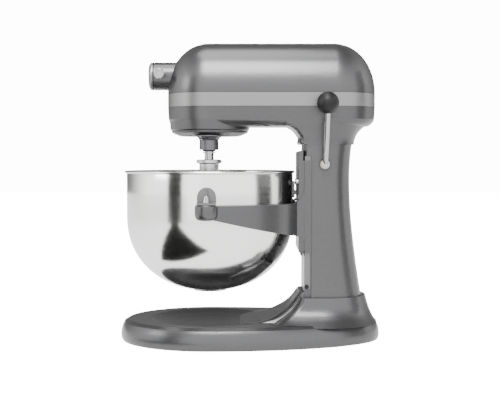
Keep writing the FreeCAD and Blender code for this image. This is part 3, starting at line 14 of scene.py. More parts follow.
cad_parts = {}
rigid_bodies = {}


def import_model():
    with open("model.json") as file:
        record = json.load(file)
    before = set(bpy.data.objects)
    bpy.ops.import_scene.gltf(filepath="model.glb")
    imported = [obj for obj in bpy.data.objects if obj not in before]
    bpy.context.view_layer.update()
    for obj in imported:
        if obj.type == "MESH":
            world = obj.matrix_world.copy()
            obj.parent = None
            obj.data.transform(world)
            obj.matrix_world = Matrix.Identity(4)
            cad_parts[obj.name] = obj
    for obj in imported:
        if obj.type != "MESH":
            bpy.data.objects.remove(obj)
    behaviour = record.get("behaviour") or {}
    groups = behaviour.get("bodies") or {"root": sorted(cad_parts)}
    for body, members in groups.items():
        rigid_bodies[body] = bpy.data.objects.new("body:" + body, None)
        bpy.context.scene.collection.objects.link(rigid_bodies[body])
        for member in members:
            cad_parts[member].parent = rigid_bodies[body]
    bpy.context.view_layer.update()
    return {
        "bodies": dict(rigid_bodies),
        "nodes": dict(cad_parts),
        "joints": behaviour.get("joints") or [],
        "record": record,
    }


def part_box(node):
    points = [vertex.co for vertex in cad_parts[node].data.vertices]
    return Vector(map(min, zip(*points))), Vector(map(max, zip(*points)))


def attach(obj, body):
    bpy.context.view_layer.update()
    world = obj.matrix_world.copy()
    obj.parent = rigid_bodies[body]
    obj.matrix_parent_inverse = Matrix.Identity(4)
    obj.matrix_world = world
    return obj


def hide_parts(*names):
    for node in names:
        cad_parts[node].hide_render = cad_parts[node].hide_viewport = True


log = logging.getLogger("mixer")
MM = 0.001
Point = tuple[float, float, float]


# ------------------------------------------------------------------ node graphs
class Graph:
    """A node tree with short calls for adding and wiring nodes."""

    def __init__(self, tree: bpy.types.NodeTree) -> None:
        """Wrap a tree.

        Args:
            tree: the material's or group's node tree.
        """
        self.tree = tree

    def add(self, kind: str, **values: object) -> bpy.types.Node:
        """Add a node and set its properties or its unlinked inputs.

        Args:
            kind: the node's type name.
            values: property names, or input names with _ for a space.

        Returns:
            The new node.
        """
        node = self.tree.nodes.new(kind)
        for key, value in values.items():
            if hasattr(node, key):
                setattr(node, key, value)
            else:
                node.inputs[key.replace("_", " ")].default_value = value
        return node

    def wire(self, source: bpy.types.NodeSocket, target: bpy.types.NodeSocket) -> None:
        """Link an output to an input."""
        self.tree.links.new(source, target)

    def math(self, operation: str, first: object, second: object = 0.0) -> bpy.types.NodeSocket:
        """Add a maths node.

        Args:
            operation: the node's operation.
            first: a socket or a number.
            second: a socket or a number.

        Returns:
            The result's socket.
        """
        node = self.add("ShaderNodeMath", operation=operation)
        for slot, value in enumerate((first, second)):
            if isinstance(value, bpy.types.NodeSocket):
                self.wire(value, node.inputs[slot])
            else:
                node.inputs[slot].default_value = value
        return node.outputs[0]


def group_tree(name: str, inputs: Sequence[tuple[str, str, object]],
               outputs: Sequence[tuple[str, str]]) -> tuple[Graph, bpy.types.Node, bpy.types.Node]:
    """Start a shader node group with named sockets.

    Args:
        name: the group's name.
        inputs: (name, socket type, default) rows.
        outputs: (name, socket type) rows.

    Returns:
        The graph, its group input node and its group output node.
    """
    tree = bpy.data.node_groups.new(name, "ShaderNodeTree")
    for label, kind, default in inputs:
        socket = tree.interface.new_socket(label, in_out="INPUT", socket_type=kind)
        socket.default_value = default
    for label, kind in outputs:
        tree.interface.new_socket(label, in_out="OUTPUT", socket_type=kind)
    graph = Graph(tree)
    return graph, graph.add("NodeGroupInput"), graph.add("NodeGroupOutput")


FLOAT, COLOR = "NodeSocketFloat", "NodeSocketColor"


class Effects:
    """Shader node groups that several finishes share."""

    def __init__(self) -> None:
        """Build every group once."""
        self.handling = self._handling()
        self.brushing = self._brushing()
        self.flake = self._flake()
        self.texture = self._texture()

    @staticmethod
    def _handling() -> bpy.types.NodeTree:
        """Smudges and light dust: broad soft patches of tone and roughness."""
        graph, given, out = group_tree(
            "handling_marks",
            [("Color", COLOR, (0.5, 0.5, 0.5, 1)), ("Roughness", FLOAT, 0.4), ("Patch Size", FLOAT, 18.0),
             ("Tone", FLOAT, 0.06), ("Rough Change", FLOAT, 0.08)],
            [("Color", COLOR), ("Roughness", FLOAT)])
        place = graph.add("ShaderNodeTexCoord")
        noise = graph.add("ShaderNodeTexNoise", Detail=5.0, Roughness=0.62)
        graph.wire(place.outputs["Object"], noise.inputs["Vector"])
        graph.wire(given.outputs["Patch Size"], noise.inputs["Scale"])
        centred = graph.math("SUBTRACT", noise.outputs["Fac"], 0.5)
        tone = graph.math("ADD", graph.math("MULTIPLY", centred, given.outputs["Tone"]), 1.0)
        mix = graph.add("ShaderNodeVectorMath", operation="SCALE")
        graph.wire(given.outputs["Color"], mix.inputs[0])
        graph.wire(tone, mix.inputs["Scale"])
        rough = graph.math("ADD", graph.math("MULTIPLY", centred, given.outputs["Rough Change"]),
                           given.outputs["Roughness"])
        graph.wire(mix.outputs[0], out.inputs["Color"])
        graph.wire(rough, out.inputs["Roughness"])
        return graph.tree

    @staticmethod
    def _brushing() -> bpy.types.NodeTree:
        """Fine parallel lines; the stretch per axis sets which way they run."""
        graph, given, out = group_tree(
            "brushed_lines",
            [("Along X", FLOAT, 1.0), ("Along Y", FLOAT, 1.0), ("Along Z", FLOAT, 1.0),
             ("Fineness", FLOAT, 900.0)],
            [("Lines", FLOAT), ("Height", FLOAT)])
        place = graph.add("ShaderNodeTexCoord")
        split = graph.add("ShaderNodeSeparateXYZ")
        join = graph.add("ShaderNodeCombineXYZ")
        graph.wire(place.outputs["Object"], split.inputs[0])
        for axis in "XYZ":
            graph.wire(graph.math("MULTIPLY", split.outputs[axis], given.outputs["Along " + axis]),
                       join.inputs[axis])
        noise = graph.add("ShaderNodeTexNoise", Detail=3.0, Roughness=0.7)
        graph.wire(join.outputs[0], noise.inputs["Vector"])
        graph.wire(given.outputs["Fineness"], noise.inputs["Scale"])
        graph.wire(noise.outputs["Fac"], out.inputs["Lines"])
        graph.wire(noise.outputs["Fac"], out.inputs["Height"])
        return graph.tree

    @staticmethod
    def _flake() -> bpy.types.NodeTree:
        """Metal flakes under a clear coat: each cell catches the light a little differently."""
        graph, given, out = group_tree(
            "paint_flake", [("Color", COLOR, (0.4, 0.4, 0.4, 1)), ("Flake Scale", FLOAT, 2600.0),
                            ("Sparkle", FLOAT, 0.1)],
            [("Color", COLOR), ("Height", FLOAT)])
        place = graph.add("ShaderNodeTexCoord")
        cells = graph.add("ShaderNodeTexVoronoi")
        graph.wire(place.outputs["Object"], cells.inputs["Vector"])
        graph.wire(given.outputs["Flake Scale"], cells.inputs["Scale"])
        split = graph.add("ShaderNodeSeparateColor")
        graph.wire(cells.outputs["Color"], split.inputs[0])
        centred = graph.math("SUBTRACT", split.outputs[0], 0.5)
        factor = graph.math("ADD", graph.math("MULTIPLY", centred, given.outputs["Sparkle"]), 1.0)
        tint = graph.add("ShaderNodeVectorMath", operation="SCALE")
        graph.wire(given.outputs["Color"], tint.inputs[0])
        graph.wire(factor, tint.inputs["Scale"])
        graph.wire(tint.outputs[0], out.inputs["Color"])
        graph.wire(split.outputs[1], out.inputs["Height"])
        return graph.tree

    @staticmethod
    def _texture() -> bpy.types.NodeTree:
        """Fine moulded or cast grain."""
        graph, given, out = group_tree("cast_grain", [("Grain Scale", FLOAT, 800.0)], [("Height", FLOAT)])
        place = graph.add("ShaderNodeTexCoord")
        noise = graph.add("ShaderNodeTexNoise", Detail=4.0, Roughness=0.6)
        graph.wire(place.outputs["Object"], noise.inputs["Vector"])
        graph.wire(given.outputs["Grain Scale"], noise.inputs["Scale"])
        graph.wire(noise.outputs["Fac"], out.inputs["Height"])
        return graph.tree


class Surface(Enum):
    """What gives a finish its fine relief."""

    FLAKE = "flake"
    BRUSHED = "brushed"
    GRAIN = "grain"


@dataclass(frozen=True)
class Finish:
    """One material: base values, and how strongly each shared effect shows."""

    name: str
    color: Point
    metallic: float
    roughness: float
    surface: Surface
    scale: float
    depth: float
    coat: float = 0.0
    coat_roughness: float = 0.1
    tone: float = 0.08
    rough_change: float = 0.08
    patch: float = 18.0
    sparkle: float = 0.1
    lines: float = 0.12
    stretch: Point = (1.0, 1.0, 1.0)
    specular: float = 0.5

    def _group(self, graph: Graph, tree: bpy.types.NodeTree, **values: float) -> bpy.types.Node:
        """Place a shared group in this material with its own values."""
        node = graph.add("ShaderNodeGroup", node_tree=tree)
        for key, value in values.items():
            node.inputs[key.replace("_", " ")].default_value = value
        return node

    def build(self, effects: Effects) -> bpy.types.Material:
        """Make the material.

        Args:
            effects: the shared node groups.

        Returns:
            The finished material.
        """
        material = bpy.data.materials.new(self.name)
        material.use_nodes = True
        graph = Graph(material.node_tree)
        shader = material.node_tree.nodes["Principled BSDF"]
        for key, value in (("Metallic", self.metallic), ("Coat Weight", self.coat),
                           ("Coat Roughness", self.coat_roughness), ("Specular IOR Level", self.specular)):
            shader.inputs[key].default_value = value
        marks = self._group(graph, effects.handling, Roughness=self.roughness, Patch_Size=self.patch,
                            Tone=self.tone, Rough_Change=self.rough_change)
        marks.inputs["Color"].default_value = (*self.color, 1)
        color, rough, height = marks.outputs["Color"], marks.outputs["Roughness"], None
        if self.surface is Surface.FLAKE:
            flake = self._group(graph, effects.flake, Flake_Scale=self.scale, Sparkle=self.sparkle)
            graph.wire(color, flake.inputs["Color"])
            color, height = flake.outputs["Color"], flake.outputs["Height"]
        elif self.surface is Surface.BRUSHED:
            along = dict(zip(("Along_X", "Along_Y", "Along_Z"), self.stretch))
            brush = self._group(graph, effects.brushing, Fineness=self.scale, **along)
            centred = graph.math("SUBTRACT", brush.outputs["Lines"], 0.5)
            rough = graph.math("ADD", rough, graph.math("MULTIPLY", centred, self.lines))
            height = brush.outputs["Height"]
        else:
            height = self._group(graph, effects.texture, Grain_Scale=self.scale).outputs["Height"]
        graph.wire(color, shader.inputs["Base Color"])
        graph.wire(rough, shader.inputs["Roughness"])
        bump = graph.add("ShaderNodeBump", Strength=self.depth, Distance=0.0002)
        graph.wire(height, bump.inputs["Height"])
        graph.wire(bump.outputs["Normal"], shader.inputs["Normal"])
        return material


RINGS = (0.02, 0.02, 1.0)      # lines round an upright turned piece
LENGTHWISE = (1.0, 0.02, 1.0)  # lines along Y

FINISHES = (
    Finish("silver_paint", (0.066, 0.066, 0.068), 0.85, 0.33, Surface.FLAKE, 2400.0, 0.05, coat=0.25,
           coat_roughness=0.18, tone=0.05, rough_change=0.06, patch=14.0, sparkle=0.16),
    Finish("brushed_trim", (0.185, 0.185, 0.183), 0.9, 0.36, Surface.BRUSHED, 700.0, 0.12, tone=0.05,
           lines=0.22, stretch=LENGTHWISE),
    Finish("bowl_steel", (0.76, 0.755, 0.74), 1.0, 0.15, Surface.BRUSHED, 520.0, 0.06, tone=0.05,
           lines=0.14, stretch=RINGS, patch=12.0),
    Finish("bracket_steel", (0.13, 0.13, 0.13), 0.9, 0.42, Surface.GRAIN, 900.0, 0.18, tone=0.12),
    Finish("bright_chrome", (0.33, 0.33, 0.335), 1.0, 0.14, Surface.BRUSHED, 400.0, 0.03, tone=0.06,
           lines=0.06, stretch=RINGS),
    Finish("black_plastic", (0.004, 0.004, 0.004), 0.0, 0.45, Surface.GRAIN, 1100.0, 0.05, tone=0.3,
           rough_change=0.12, specular=0.22),
    Finish("dark_casting", (0.10, 0.10, 0.105), 0.85, 0.38, Surface.BRUSHED, 300.0, 0.15, tone=0.15,
           lines=0.2, stretch=RINGS),
    Finish("black_rubber", (0.018, 0.018, 0.018), 0.0, 0.72, Surface.GRAIN, 700.0, 0.3, tone=0.4),
    Finish("gear_steel", (0.42, 0.42, 0.43), 1.0, 0.32, Surface.BRUSHED, 500.0, 0.1, tone=0.1, stretch=RINGS),
    Finish("bronze", (0.55, 0.35, 0.15), 1.0, 0.36, Surface.GRAIN, 900.0, 0.1, tone=0.15),
    Finish("copper", (0.62, 0.29, 0.16), 1.0, 0.30, Surface.BRUSHED, 500.0, 0.1, tone=0.2,
           stretch=LENGTHWISE),
    Finish("lamination_iron", (0.20, 0.20, 0.21), 0.8, 0.5, Surface.BRUSHED, 900.0, 0.5, tone=0.2,
           stretch=(0.02, 1.0, 0.02)),
    Finish("grey_plastic", (0.14, 0.14, 0.15), 0.0, 0.5, Surface.GRAIN, 900.0, 0.15, tone=0.1),
    Finish("board_green", (0.02, 0.13, 0.06), 0.0, 0.35, Surface.GRAIN, 500.0, 0.1, tone=0.2),
    Finish("carbon", (0.025, 0.025, 0.025), 0.1, 0.6, Surface.GRAIN, 1200.0, 0.2, tone=0.2),
    Finish("zinc_screws", (0.55, 0.55, 0.56), 1.0, 0.33, Surface.GRAIN, 900.0, 0.1, tone=0.1),
    Finish("beater_aluminium", (0.56, 0.56, 0.56), 1.0, 0.34, Surface.GRAIN, 500.0, 0.12, tone=0.12),
)


# ------------------------------------------------------------------ mesh helpers
def mesh_object(name: str, shape: bmesh.types.BMesh, material: bpy.types.Material,
                smooth_angle: float = 35.0) -> bpy.types.Object:
    """Turn a bmesh into a shaded object at the origin.

    Args:
        name: the piece's name.
        shape: the mesh, in metres; it is freed.
        material: the finish.
        smooth_angle: faces that meet at less than this are shaded smooth, in degrees.

    Returns:
        The object, linked to the scene.
    """
    bmesh.ops.recalc_face_normals(shape, faces=shape.faces)
    limit = math.radians(smooth_angle)
    for face in shape.faces:
        face.smooth = True
    for edge in shape.edges:
        edge.smooth = not edge.is_manifold or edge.calc_face_angle(0.0) < limit
    mesh = bpy.data.meshes.new(name)
    shape.to_mesh(mesh)
    shape.free()
    mesh.materials.append(material)
    piece = bpy.data.objects.new(name, mesh)
    bpy.context.scene.collection.objects.link(piece)
    return piece


def spun(profile: Sequence[tuple[float, float]], centre: tuple[float, float],
         steps: int = 128) -> bmesh.types.BMesh:
    """Closed or pole-to-pole profile turned about an upright axis.

    Args:
        profile: (radius, z) points in metres; the first and last may lie on the axis.
        centre: the axis's x and y.
        steps: divisions of the full turn.

    Returns:
        A welded bmesh.
    """
    shape = bmesh.new()
    verts = [shape.verts.new((centre[0] + r, centre[1], z)) for r, z in profile]
    edges = [shape.edges.new(pair) for pair in zip(verts, verts[1:])]
    bmesh.ops.spin(shape, geom=verts + edges, cent=(*centre, 0), axis=(0, 0, 1), angle=2 * math.pi,
                   steps=steps, use_duplicate=False)
    bmesh.ops.remove_doubles(shape, verts=shape.verts, dist=1e-6)
    return shape


# ------------------------------------------------------------------ the mixer
@dataclass
class Workshop:
    """What every sub-assembly needs: the frame and the finishes."""

    frame: dict
    finishes: dict[str, bpy.types.Material]

    def slot_of(self, node: str) -> str:
        """Material slot that the record gives a node."""
        rows = self.frame["record"]["subparts"]
        return next(row["material_slot"] for row in rows if row["node"] == node)

    def finish(self, node: str) -> bpy.types.Material:
        """Finish of a node's slot."""
        return self.finishes[self.slot_of(node)]

    def body_of(self, node: str) -> str:
        """Body that holds a node."""
        bodies = self.frame["record"]["behaviour"]["bodies"]
        return next(body for body, nodes in bodies.items() if node in nodes)

    def dress(self, node: str) -> None:
        """Give a carried-over node its finish."""
        piece = self.frame["nodes"][node]
        finish = self.finishes[self.slot_of(node)]
        if not piece.material_slots:
            piece.data.materials.append(finish)
        for slot in piece.material_slots:
            slot.material = finish

    def place(self, piece: bpy.types.Object, node: str) -> None:
        """Let a new piece stand for a CAD node and move with its body."""
        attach(piece, self.body_of(node))
        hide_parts(node)
        log.info("%s stands for %s", piece.name, node)


class RepeatTree:
    """Geometry nodes that set copies of one piece round an axis, outside a base mesh."""

    INPUTS = (("Base", "NodeSocketGeometry"), ("Item", "NodeSocketObject"), ("Count", "NodeSocketInt"),
              ("Radius", "NodeSocketFloat"), ("Finish", "NodeSocketMaterial"))

    def __init__(self, name: str) -> None:
        """Build the tree.

        Args:
            name: the node group's name.
        """
        self.tree = bpy.data.node_groups.new(name, "GeometryNodeTree")
        self.tree.is_modifier = True
        self.sockets = {label: self.tree.interface.new_socket(label, in_out="INPUT", socket_type=kind)
                        for label, kind in self.INPUTS}
        self.tree.interface.new_socket("Geometry", in_out="OUTPUT", socket_type="NodeSocketGeometry")
        graph = Graph(self.tree)
        given, out = graph.add("NodeGroupInput"), graph.add("NodeGroupOutput")
        ring = graph.add("GeometryNodeMeshCircle")
        graph.wire(given.outputs["Count"], ring.inputs["Vertices"])
        graph.wire(given.outputs["Radius"], ring.inputs["Radius"])
        item = graph.add("GeometryNodeObjectInfo")
        graph.wire(given.outputs["Item"], item.inputs["Object"])
        index = graph.add("GeometryNodeInputIndex")
        turn = graph.math("DIVIDE", graph.math("MULTIPLY", index.outputs[0], 2 * math.pi),
                          given.outputs["Count"])
        spin = graph.add("ShaderNodeCombineXYZ")
        graph.wire(turn, spin.inputs["Z"])
        copies = graph.add("GeometryNodeInstanceOnPoints")
        graph.wire(ring.outputs["Mesh"], copies.inputs["Points"])
        graph.wire(item.outputs["Geometry"], copies.inputs["Instance"])
        graph.wire(spin.outputs[0], copies.inputs["Rotation"])
        join = graph.add("GeometryNodeJoinGeometry")
        graph.wire(copies.outputs["Instances"], join.inputs[0])
        graph.wire(given.outputs["Base"], join.inputs[0])
        real = graph.add("GeometryNodeRealizeInstances")
        graph.wire(join.outputs[0], real.inputs[0])
        paint = graph.add("GeometryNodeSetMaterial")
        graph.wire(real.outputs[0], paint.inputs["Geometry"])
        graph.wire(given.outputs["Finish"], paint.inputs["Material"])
        graph.wire(paint.outputs[0], out.inputs[0])

    def grow(self, base: bpy.types.Object, item: bpy.types.Object, count: int, radius: float,
             finish: bpy.types.Material, pose: Matrix) -> None:
        """Replace a base's mesh by itself plus the ring of copies.

        Args:
            base: the piece to grow, its axis along Z through the origin.
            item: the piece to copy, drawn for the copy at angle 0; it is removed.
            count: how many copies.
            radius: of the ring of copies.
            finish: the material of the result.
            pose: from this upright place to the frame.
        """
        modifier = base.modifiers.new("repeat", "NODES")
        modifier.node_group = self.tree
        for label, value in (("Item", item), ("Count", count), ("Radius", radius), ("Finish", finish)):
            modifier[self.sockets[label].identifier] = value
        bpy.context.view_layer.update()
        mesh = bpy.data.meshes.new_from_object(base.evaluated_get(bpy.context.evaluated_depsgraph_get()))
        base.modifiers.remove(modifier)
        bpy.data.objects.remove(item)
        mesh.transform(pose)
        base.data = mesh


@dataclass
class Bowl:
    """Pressed steel bowl with a rolled rim."""

    shop: Workshop
    wall: float = 1.2 * MM
    radius: float = 117.5 * MM
    rim_drop: float = 2.5 * MM
    straight: float = 63.5 * MM
    power: float = 2.17
    flat: float = 26.0 * MM
    rim_r: float = 1.75 * MM
    steps: int = 192
    rows: int = 32

    def _wall(self, low: float, top: float, inset: float) -> list[tuple[float, float]]:
        """(radius, z) points of one side of the wall, from the rim to the middle of the bottom."""
        turn = top - self.straight
        depth = turn - low
        upright = self.straight - self.rim_drop
        points = [(self.radius - inset, top - self.rim_drop - share * upright) for share in (0, 0.5)]
        for step in range(self.rows + 1):
            angle = math.pi / 2 * step / self.rows
            r = (self.radius - inset) * math.cos(angle) ** (2 / self.power)
            z = turn - (depth - inset) * math.sin(angle) ** (2 / self.power)
            if r > self.flat:
                points.append((r, z))
        return points + [(self.flat * 0.9, low + inset), (0.0, low + inset)]

    def build(self) -> None:
        """Spin the wall and the rim, and let it stand for the bowl's shell."""
        low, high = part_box("bowl_shell")
        centre = ((low[0] + high[0]) / 2, (low[1] + high[1]) / 2)
        outer, inner = self._wall(low[2], high[2], 0.0), self._wall(low[2], high[2], self.wall)
        rim_c = (high[0] - low[0]) / 2 - self.rim_r
        rim_z = high[2] - self.rim_r
        rim = [(rim_c + self.rim_r * math.cos(a), rim_z + self.rim_r * math.sin(a))
               for a in [math.radians(160 - 30 * i) for i in range(13)]]
        profile = list(reversed(inner)) + rim + outer
        shape = spun(profile, centre, self.steps)
        self.shop.place(mesh_object("bowl_wall", shape, self.shop.finish("bowl_shell"), 60.0), "bowl_shell")


@dataclass
class SideKnob:
    """Thumb screw at the side of the hub: a disc with a knurled edge on a stem."""

    shop: Workshop
    repeat: RepeatTree
    ribs: int = 40
    rib_r: float = 0.45 * MM

    def build(self) -> None:
        """Build it upright, then turn it on to its own axis."""
        low, high = (Vector(corner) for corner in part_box("attachment_knob"))
        radius, length = (high.y - low.y) / 2 - self.rib_r, high.x - low.x
        disc, stem = 5.0 * MM, 3.2 * MM
        face = length - disc
        collar, edge, dimple = stem + 1.5 * MM, 0.9 * MM, length - 0.5 * MM
        profile = [(0, 0), (stem - 0.4 * MM, 0), (stem, 0.4 * MM), (stem, face - 2.8 * MM),
                   (collar, face - 2.4 * MM), (collar, face), (radius - 0.8 * MM, face),
                   (radius, face + 0.8 * MM), (radius, length - edge), (radius - edge, length),
                   (radius * 0.62, length), (radius * 0.55, dimple), (0, dimple)]
        finish = self.shop.finish("attachment_knob")
        base = mesh_object("side_knob", spun(profile, (0, 0), 72), finish)
        line = [(0, face + 0.7 * MM), (self.rib_r, face + 1.1 * MM), (self.rib_r, length - 1.2 * MM),
                (0, length - 0.8 * MM)]
        rib = mesh_object("rib", spun(line, (0, 0), 10), finish)
        pose = Matrix.Translation((low.x, (low.y + high.y) / 2, (low.z + high.z) / 2)) @ Matrix.Rotation(
            math.pi / 2, 4, "Y")
        self.repeat.grow(base, rib, self.ribs, radius, finish, pose)
        self.shop.place(base, "attachment_knob")


@dataclass
class Fan:
    """Cooling fan on the motor's shaft: a plate with a ring of curved blades."""

    shop: Workshop
    repeat: RepeatTree
    blades: int = 13
    thickness: float = 1.0 * MM

    def build(self) -> None:
        """Build it upright, then lay it along the motor's shaft."""
        low, high = (Vector(corner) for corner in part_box("cooling_fan"))
        radius, width = (high.x - low.x) / 2 - self.thickness, high.y - low.y
        hub, plate = radius * 0.3, 2.0 * MM
        bore = 5.0 * MM
        profile = [(bore, 0), (radius, 0), (radius, plate), (hub + 1 * MM, plate), (hub, plate + 1 * MM),
                   (hub, width), (bore, width), (bore, 0)]
        finish = self.shop.finish("cooling_fan")
        base = mesh_object("fan_wheel", spun(profile, (0, 0), 72), finish)
        shape = bmesh.new()
        rows = []
        for step in range(9):
            share = step / 8
            x = -(radius - hub) * 0.92 * share
            y = 6 * MM * math.sin(share * math.pi * 0.55)
            rows.append([shape.verts.new((x, y + dy, z)) for dy, z in (
                (0, plate), (self.thickness, plate), (self.thickness, width - 1 * MM), (0, width - 1 * MM))])
        for first, second in zip(rows, rows[1:]):
            for i in range(4):
                shape.faces.new((first[i], first[(i + 1) % 4], second[(i + 1) % 4], second[i]))
        shape.faces.new(rows[0])
        shape.faces.new(rows[-1])
        blade = mesh_object("blade", shape, finish)
        pose = Matrix.Translation(((low.x + high.x) / 2, high.y, (low.z + high.z) / 2)) @ Matrix.Rotation(
            math.pi / 2, 4, "X")
        self.repeat.grow(base, blade, self.blades, radius - self.thickness, finish, pose)
        self.shop.place(base, "cooling_fan")


@dataclass
class LiftKnob:
    """Black ball knob at the end of the lift lever."""

    shop: Workshop
    steps: int = 48

    def build(self) -> None:
        """Spin the ball upright and smooth it with a subdivision surface."""
        low, high = (Vector(corner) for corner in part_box("lever_knob"))
        middle = (low + high) / 2
        radius = min(high.y - low.y, high.z - low.z) / 2
        profile = [(0, radius)] + [(radius * math.cos(math.radians(t)), radius * math.sin(math.radians(t)))
                                   for t in range(75, -76, -15)] + [(0, -radius)]
        shape = spun(profile, (0, 0), self.steps)
        ball = mesh_object("lift_knob", shape, self.shop.finish("lever_knob"), 80.0)
        rounder = ball.modifiers.new("round", "SUBSURF")
        rounder.levels = rounder.render_levels = 1
        bpy.context.view_layer.update()
        mesh = bpy.data.meshes.new_from_object(ball.evaluated_get(bpy.context.evaluated_depsgraph_get()))
        ball.modifiers.remove(rounder)
        mesh.transform(Matrix.Translation(middle))
        ball.data = mesh
        self.shop.place(ball, "lever_knob")


@dataclass
class SoftenedCasting:
    """Copy of a plain solid with every hard edge rounded, as a casting or a deburred pressing has."""

    shop: Workshop
    node: str
    name: str
    edge: float
    segments: int = 3
    flat_angle: float = 3.0
    hard_angle: float = 32.0

    def build(self) -> None:
        """Join the flat faces, then bevel the edges between them."""
        source = self.shop.frame["nodes"][self.node]
        shape = bmesh.new()
        shape.from_mesh(source.data)
        bmesh.ops.remove_doubles(shape, verts=shape.verts, dist=1e-6)
        bmesh.ops.dissolve_limit(shape, angle_limit=math.radians(self.flat_angle), verts=shape.verts,
                                 edges=shape.edges)
        piece = mesh_object(self.name, shape, self.shop.finish(self.node), 50.0)
        bevel = piece.modifiers.new("edges", "BEVEL")
        bevel.width, bevel.segments = self.edge, self.segments
        bevel.limit_method, bevel.angle_limit = "ANGLE", math.radians(self.hard_angle)
        bevel.harden_normals = True
        bpy.context.view_layer.update()
        mesh = bpy.data.meshes.new_from_object(piece.evaluated_get(bpy.context.evaluated_depsgraph_get()))
        piece.modifiers.remove(bevel)
        piece.data = mesh
        self.shop.place(piece, self.node)


@dataclass(frozen=True)
class Panel:
    """A card that only shows in reflections; bearing 0 faces the camera side, positive is towards +Y."""

    name: str
    bearing: float
    distance: float
    height: float
    size: tuple[float, float]
    brightness: float
    lying: bool = False


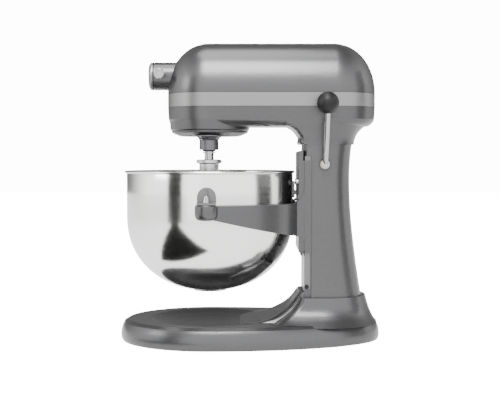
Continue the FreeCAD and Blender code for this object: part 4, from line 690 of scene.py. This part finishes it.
@dataclass
class Studio:
    """White cove, soft lights, reflection cards and camera."""

    effects: Effects
    camera_from: Point = (1.45, 0.0, 0.26)
    tilt_down: float = 2.41
    lens: float = 73.5
    floor_half: float = 6.0
    sky: float = 3.2
    backdrop: float = 14.0
    panels: tuple[Panel, ...] = (
        Panel("dark_flag_left", -46.0, 1.5, 0.45, (0.52, 1.5), 0.0),
        Panel("dark_floor_strip", -46.0, 0.85, 0.003, (0.26, 1.3), 0.0, lying=True),
        Panel("dark_flag_right", 78.0, 1.4, 0.40, (0.70, 1.6), 0.02),
        Panel("white_card_left", -20.0, 2.4, 0.55, (0.80, 1.2), 3.6),
    )

    def build(self) -> None:
        """Make the floor, the lights, the cards and the camera."""
        self._floor()
        self._world()
        self._light("key_softbox", (0.9, -0.1, 1.45), 0.7, 42.0)
        self._light("overhead", (0.05, -0.2, 2.2), 1.0, 24.0)
        self._light("front_softbox", (0.7, -1.7, 0.9), 0.6, 8.0)
        self._light("rear_softbox", (0.2, 1.7, 0.8), 0.6, 12.0)
        for panel in self.panels:
            self._panel(panel)
        self._camera()

    def _emitter(self, name: str, brightness: float, share: float) -> bpy.types.Material:
        """A matt surface that also glows, so that it stays bright without a light on it."""
        material = bpy.data.materials.new(name)
        material.use_nodes = True
        graph = Graph(material.node_tree)
        shader = material.node_tree.nodes["Principled BSDF"]
        shader.inputs["Base Color"].default_value = (0.8 * share, 0.8 * share, 0.8 * share, 1)
        shader.inputs["Roughness"].default_value = 0.8
        shader.inputs["Specular IOR Level"].default_value = 0.0
        shader.inputs["Emission Color"].default_value = (1, 1, 1, 1)
        shader.inputs["Emission Strength"].default_value = brightness
        grain = graph.add("ShaderNodeGroup", node_tree=self.effects.texture)
        bump = graph.add("ShaderNodeBump", Strength=0.02, Distance=0.0002)
        graph.wire(grain.outputs["Height"], bump.inputs["Height"])
        graph.wire(bump.outputs["Normal"], shader.inputs["Normal"])
        return material

    def _floor(self) -> None:
        """Floor, nearly white, which takes only a faint contact shadow."""
        shape = bmesh.new()
        half = self.floor_half
        places = ((-half, -half), (half, -half), (half, half), (-half, half))
        shape.faces.new([shape.verts.new((x, y, 0)) for x, y in places])
        material = self._emitter("studio_floor", self.sky, 0.5)
        graph = Graph(material.node_tree)
        seen = graph.add("ShaderNodeLightPath").outputs["Is Camera Ray"]
        glow = graph.math("ADD", graph.math("MULTIPLY", seen, self.backdrop), 0.5 * self.sky)
        graph.wire(glow, material.node_tree.nodes["Principled BSDF"].inputs["Emission Strength"])
        mesh_object("studio_floor", shape, material)

    def _panel(self, panel: Panel) -> None:
        """Upright card facing the mixer, seen only by reflection."""
        angle = math.radians(panel.bearing)
        middle = Vector((panel.distance * math.cos(angle), panel.distance * math.sin(angle), panel.height))
        side = Vector((-math.sin(angle), math.cos(angle), 0)) * panel.size[0] / 2
        up = middle.normalized() * panel.size[1] / 2 if panel.lying else Vector((0, 0, panel.size[1] / 2))
        shape = bmesh.new()
        corners = ((-1, -1), (1, -1), (1, 1), (-1, 1))
        shape.faces.new([shape.verts.new(middle + a * side + b * up) for a, b in corners])
        card = mesh_object(panel.name, shape, self._emitter(panel.name, panel.brightness, 0.0))
        card.visible_camera = card.visible_shadow = card.visible_diffuse = False

    def _world(self) -> None:
        """White to the camera; to the object, white on the camera's side and dark overhead and behind."""
        world = bpy.data.worlds.new("studio")
        world.use_nodes = True
        graph = Graph(world.node_tree)
        backdrop = world.node_tree.nodes["Background"]
        backdrop.inputs["Color"].default_value = (1, 1, 1, 1)
        place = graph.add("ShaderNodeTexCoord")
        split = graph.add("ShaderNodeSeparateXYZ")
        graph.wire(place.outputs["Generated"], split.inputs[0])
        ramp = {"X": (-0.85, 0.15, 0.10, 1.0), "Z": (0.42, 0.95, 1.0, 0.12)}
        shares = []
        for axis, (low, high, first, last) in ramp.items():
            step = graph.add("ShaderNodeMapRange", interpolation_type="SMOOTHSTEP")
            graph.wire(split.outputs[axis], step.inputs["Value"])
            for label, value in (("From Min", low), ("From Max", high), ("To Min", first), ("To Max", last)):
                step.inputs[label].default_value = value
            shares.append(step.outputs["Result"])
        seen = graph.add("ShaderNodeLightPath").outputs["Is Camera Ray"]
        shown = graph.math("MULTIPLY", seen, self.backdrop)
        lit = graph.math("MULTIPLY", graph.math("MULTIPLY", shares[0], shares[1]), self.sky)
        strength = graph.math("MAXIMUM", shown, lit)
        graph.wire(strength, backdrop.inputs["Strength"])
        bpy.context.scene.world = world

    def _light(self, name: str, place: Point, size: float, power: float) -> None:
        """Square soft light aimed at the mixer."""
        lamp = bpy.data.lights.new(name, "AREA")
        lamp.size, lamp.energy = size, power
        item = bpy.data.objects.new(name, lamp)
        item.location = place
        item.rotation_euler = (Vector((0, 0, 0.2)) - Vector(place)).to_track_quat("-Z", "Y").to_euler()
        bpy.context.scene.collection.objects.link(item)

    def _camera(self) -> None:
        """Level side view, a little above the bowl."""
        data = bpy.data.cameras.new("view")
        data.lens, data.sensor_width, data.sensor_fit = self.lens, 36.0, "HORIZONTAL"
        item = bpy.data.objects.new("view", data)
        item.location = self.camera_from
        aim = Vector((-1, 0, -math.tan(math.radians(self.tilt_down))))
        item.rotation_euler = aim.to_track_quat("-Z", "Y").to_euler()
        bpy.context.scene.collection.objects.link(item)
        bpy.context.scene.camera = item


def main() -> None:
    """Dress the frame, add the finer pieces and set up the studio."""
    logging.basicConfig(level=logging.INFO, format="%(name)s: %(message)s")
    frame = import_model()
    effects = Effects()
    shop = Workshop(frame, {finish.name: finish.build(effects) for finish in FINISHES})
    for node in frame["nodes"]:
        shop.dress(node)
    repeat = RepeatTree("ring_of_copies")
    for part in (Bowl(shop), SideKnob(shop, repeat), Fan(shop, repeat), LiftKnob(shop),
                 SoftenedCasting(shop, "flat_beater", "beater_casting", 1.4 * MM),
                 SoftenedCasting(shop, "bowl_yoke", "yoke_casting", 1.2 * MM),
                 SoftenedCasting(shop, "bowl_handle", "handle_strap", 0.6 * MM)):
        part.build()
    Studio(effects).build()


if __name__ == "__main__":
    main()
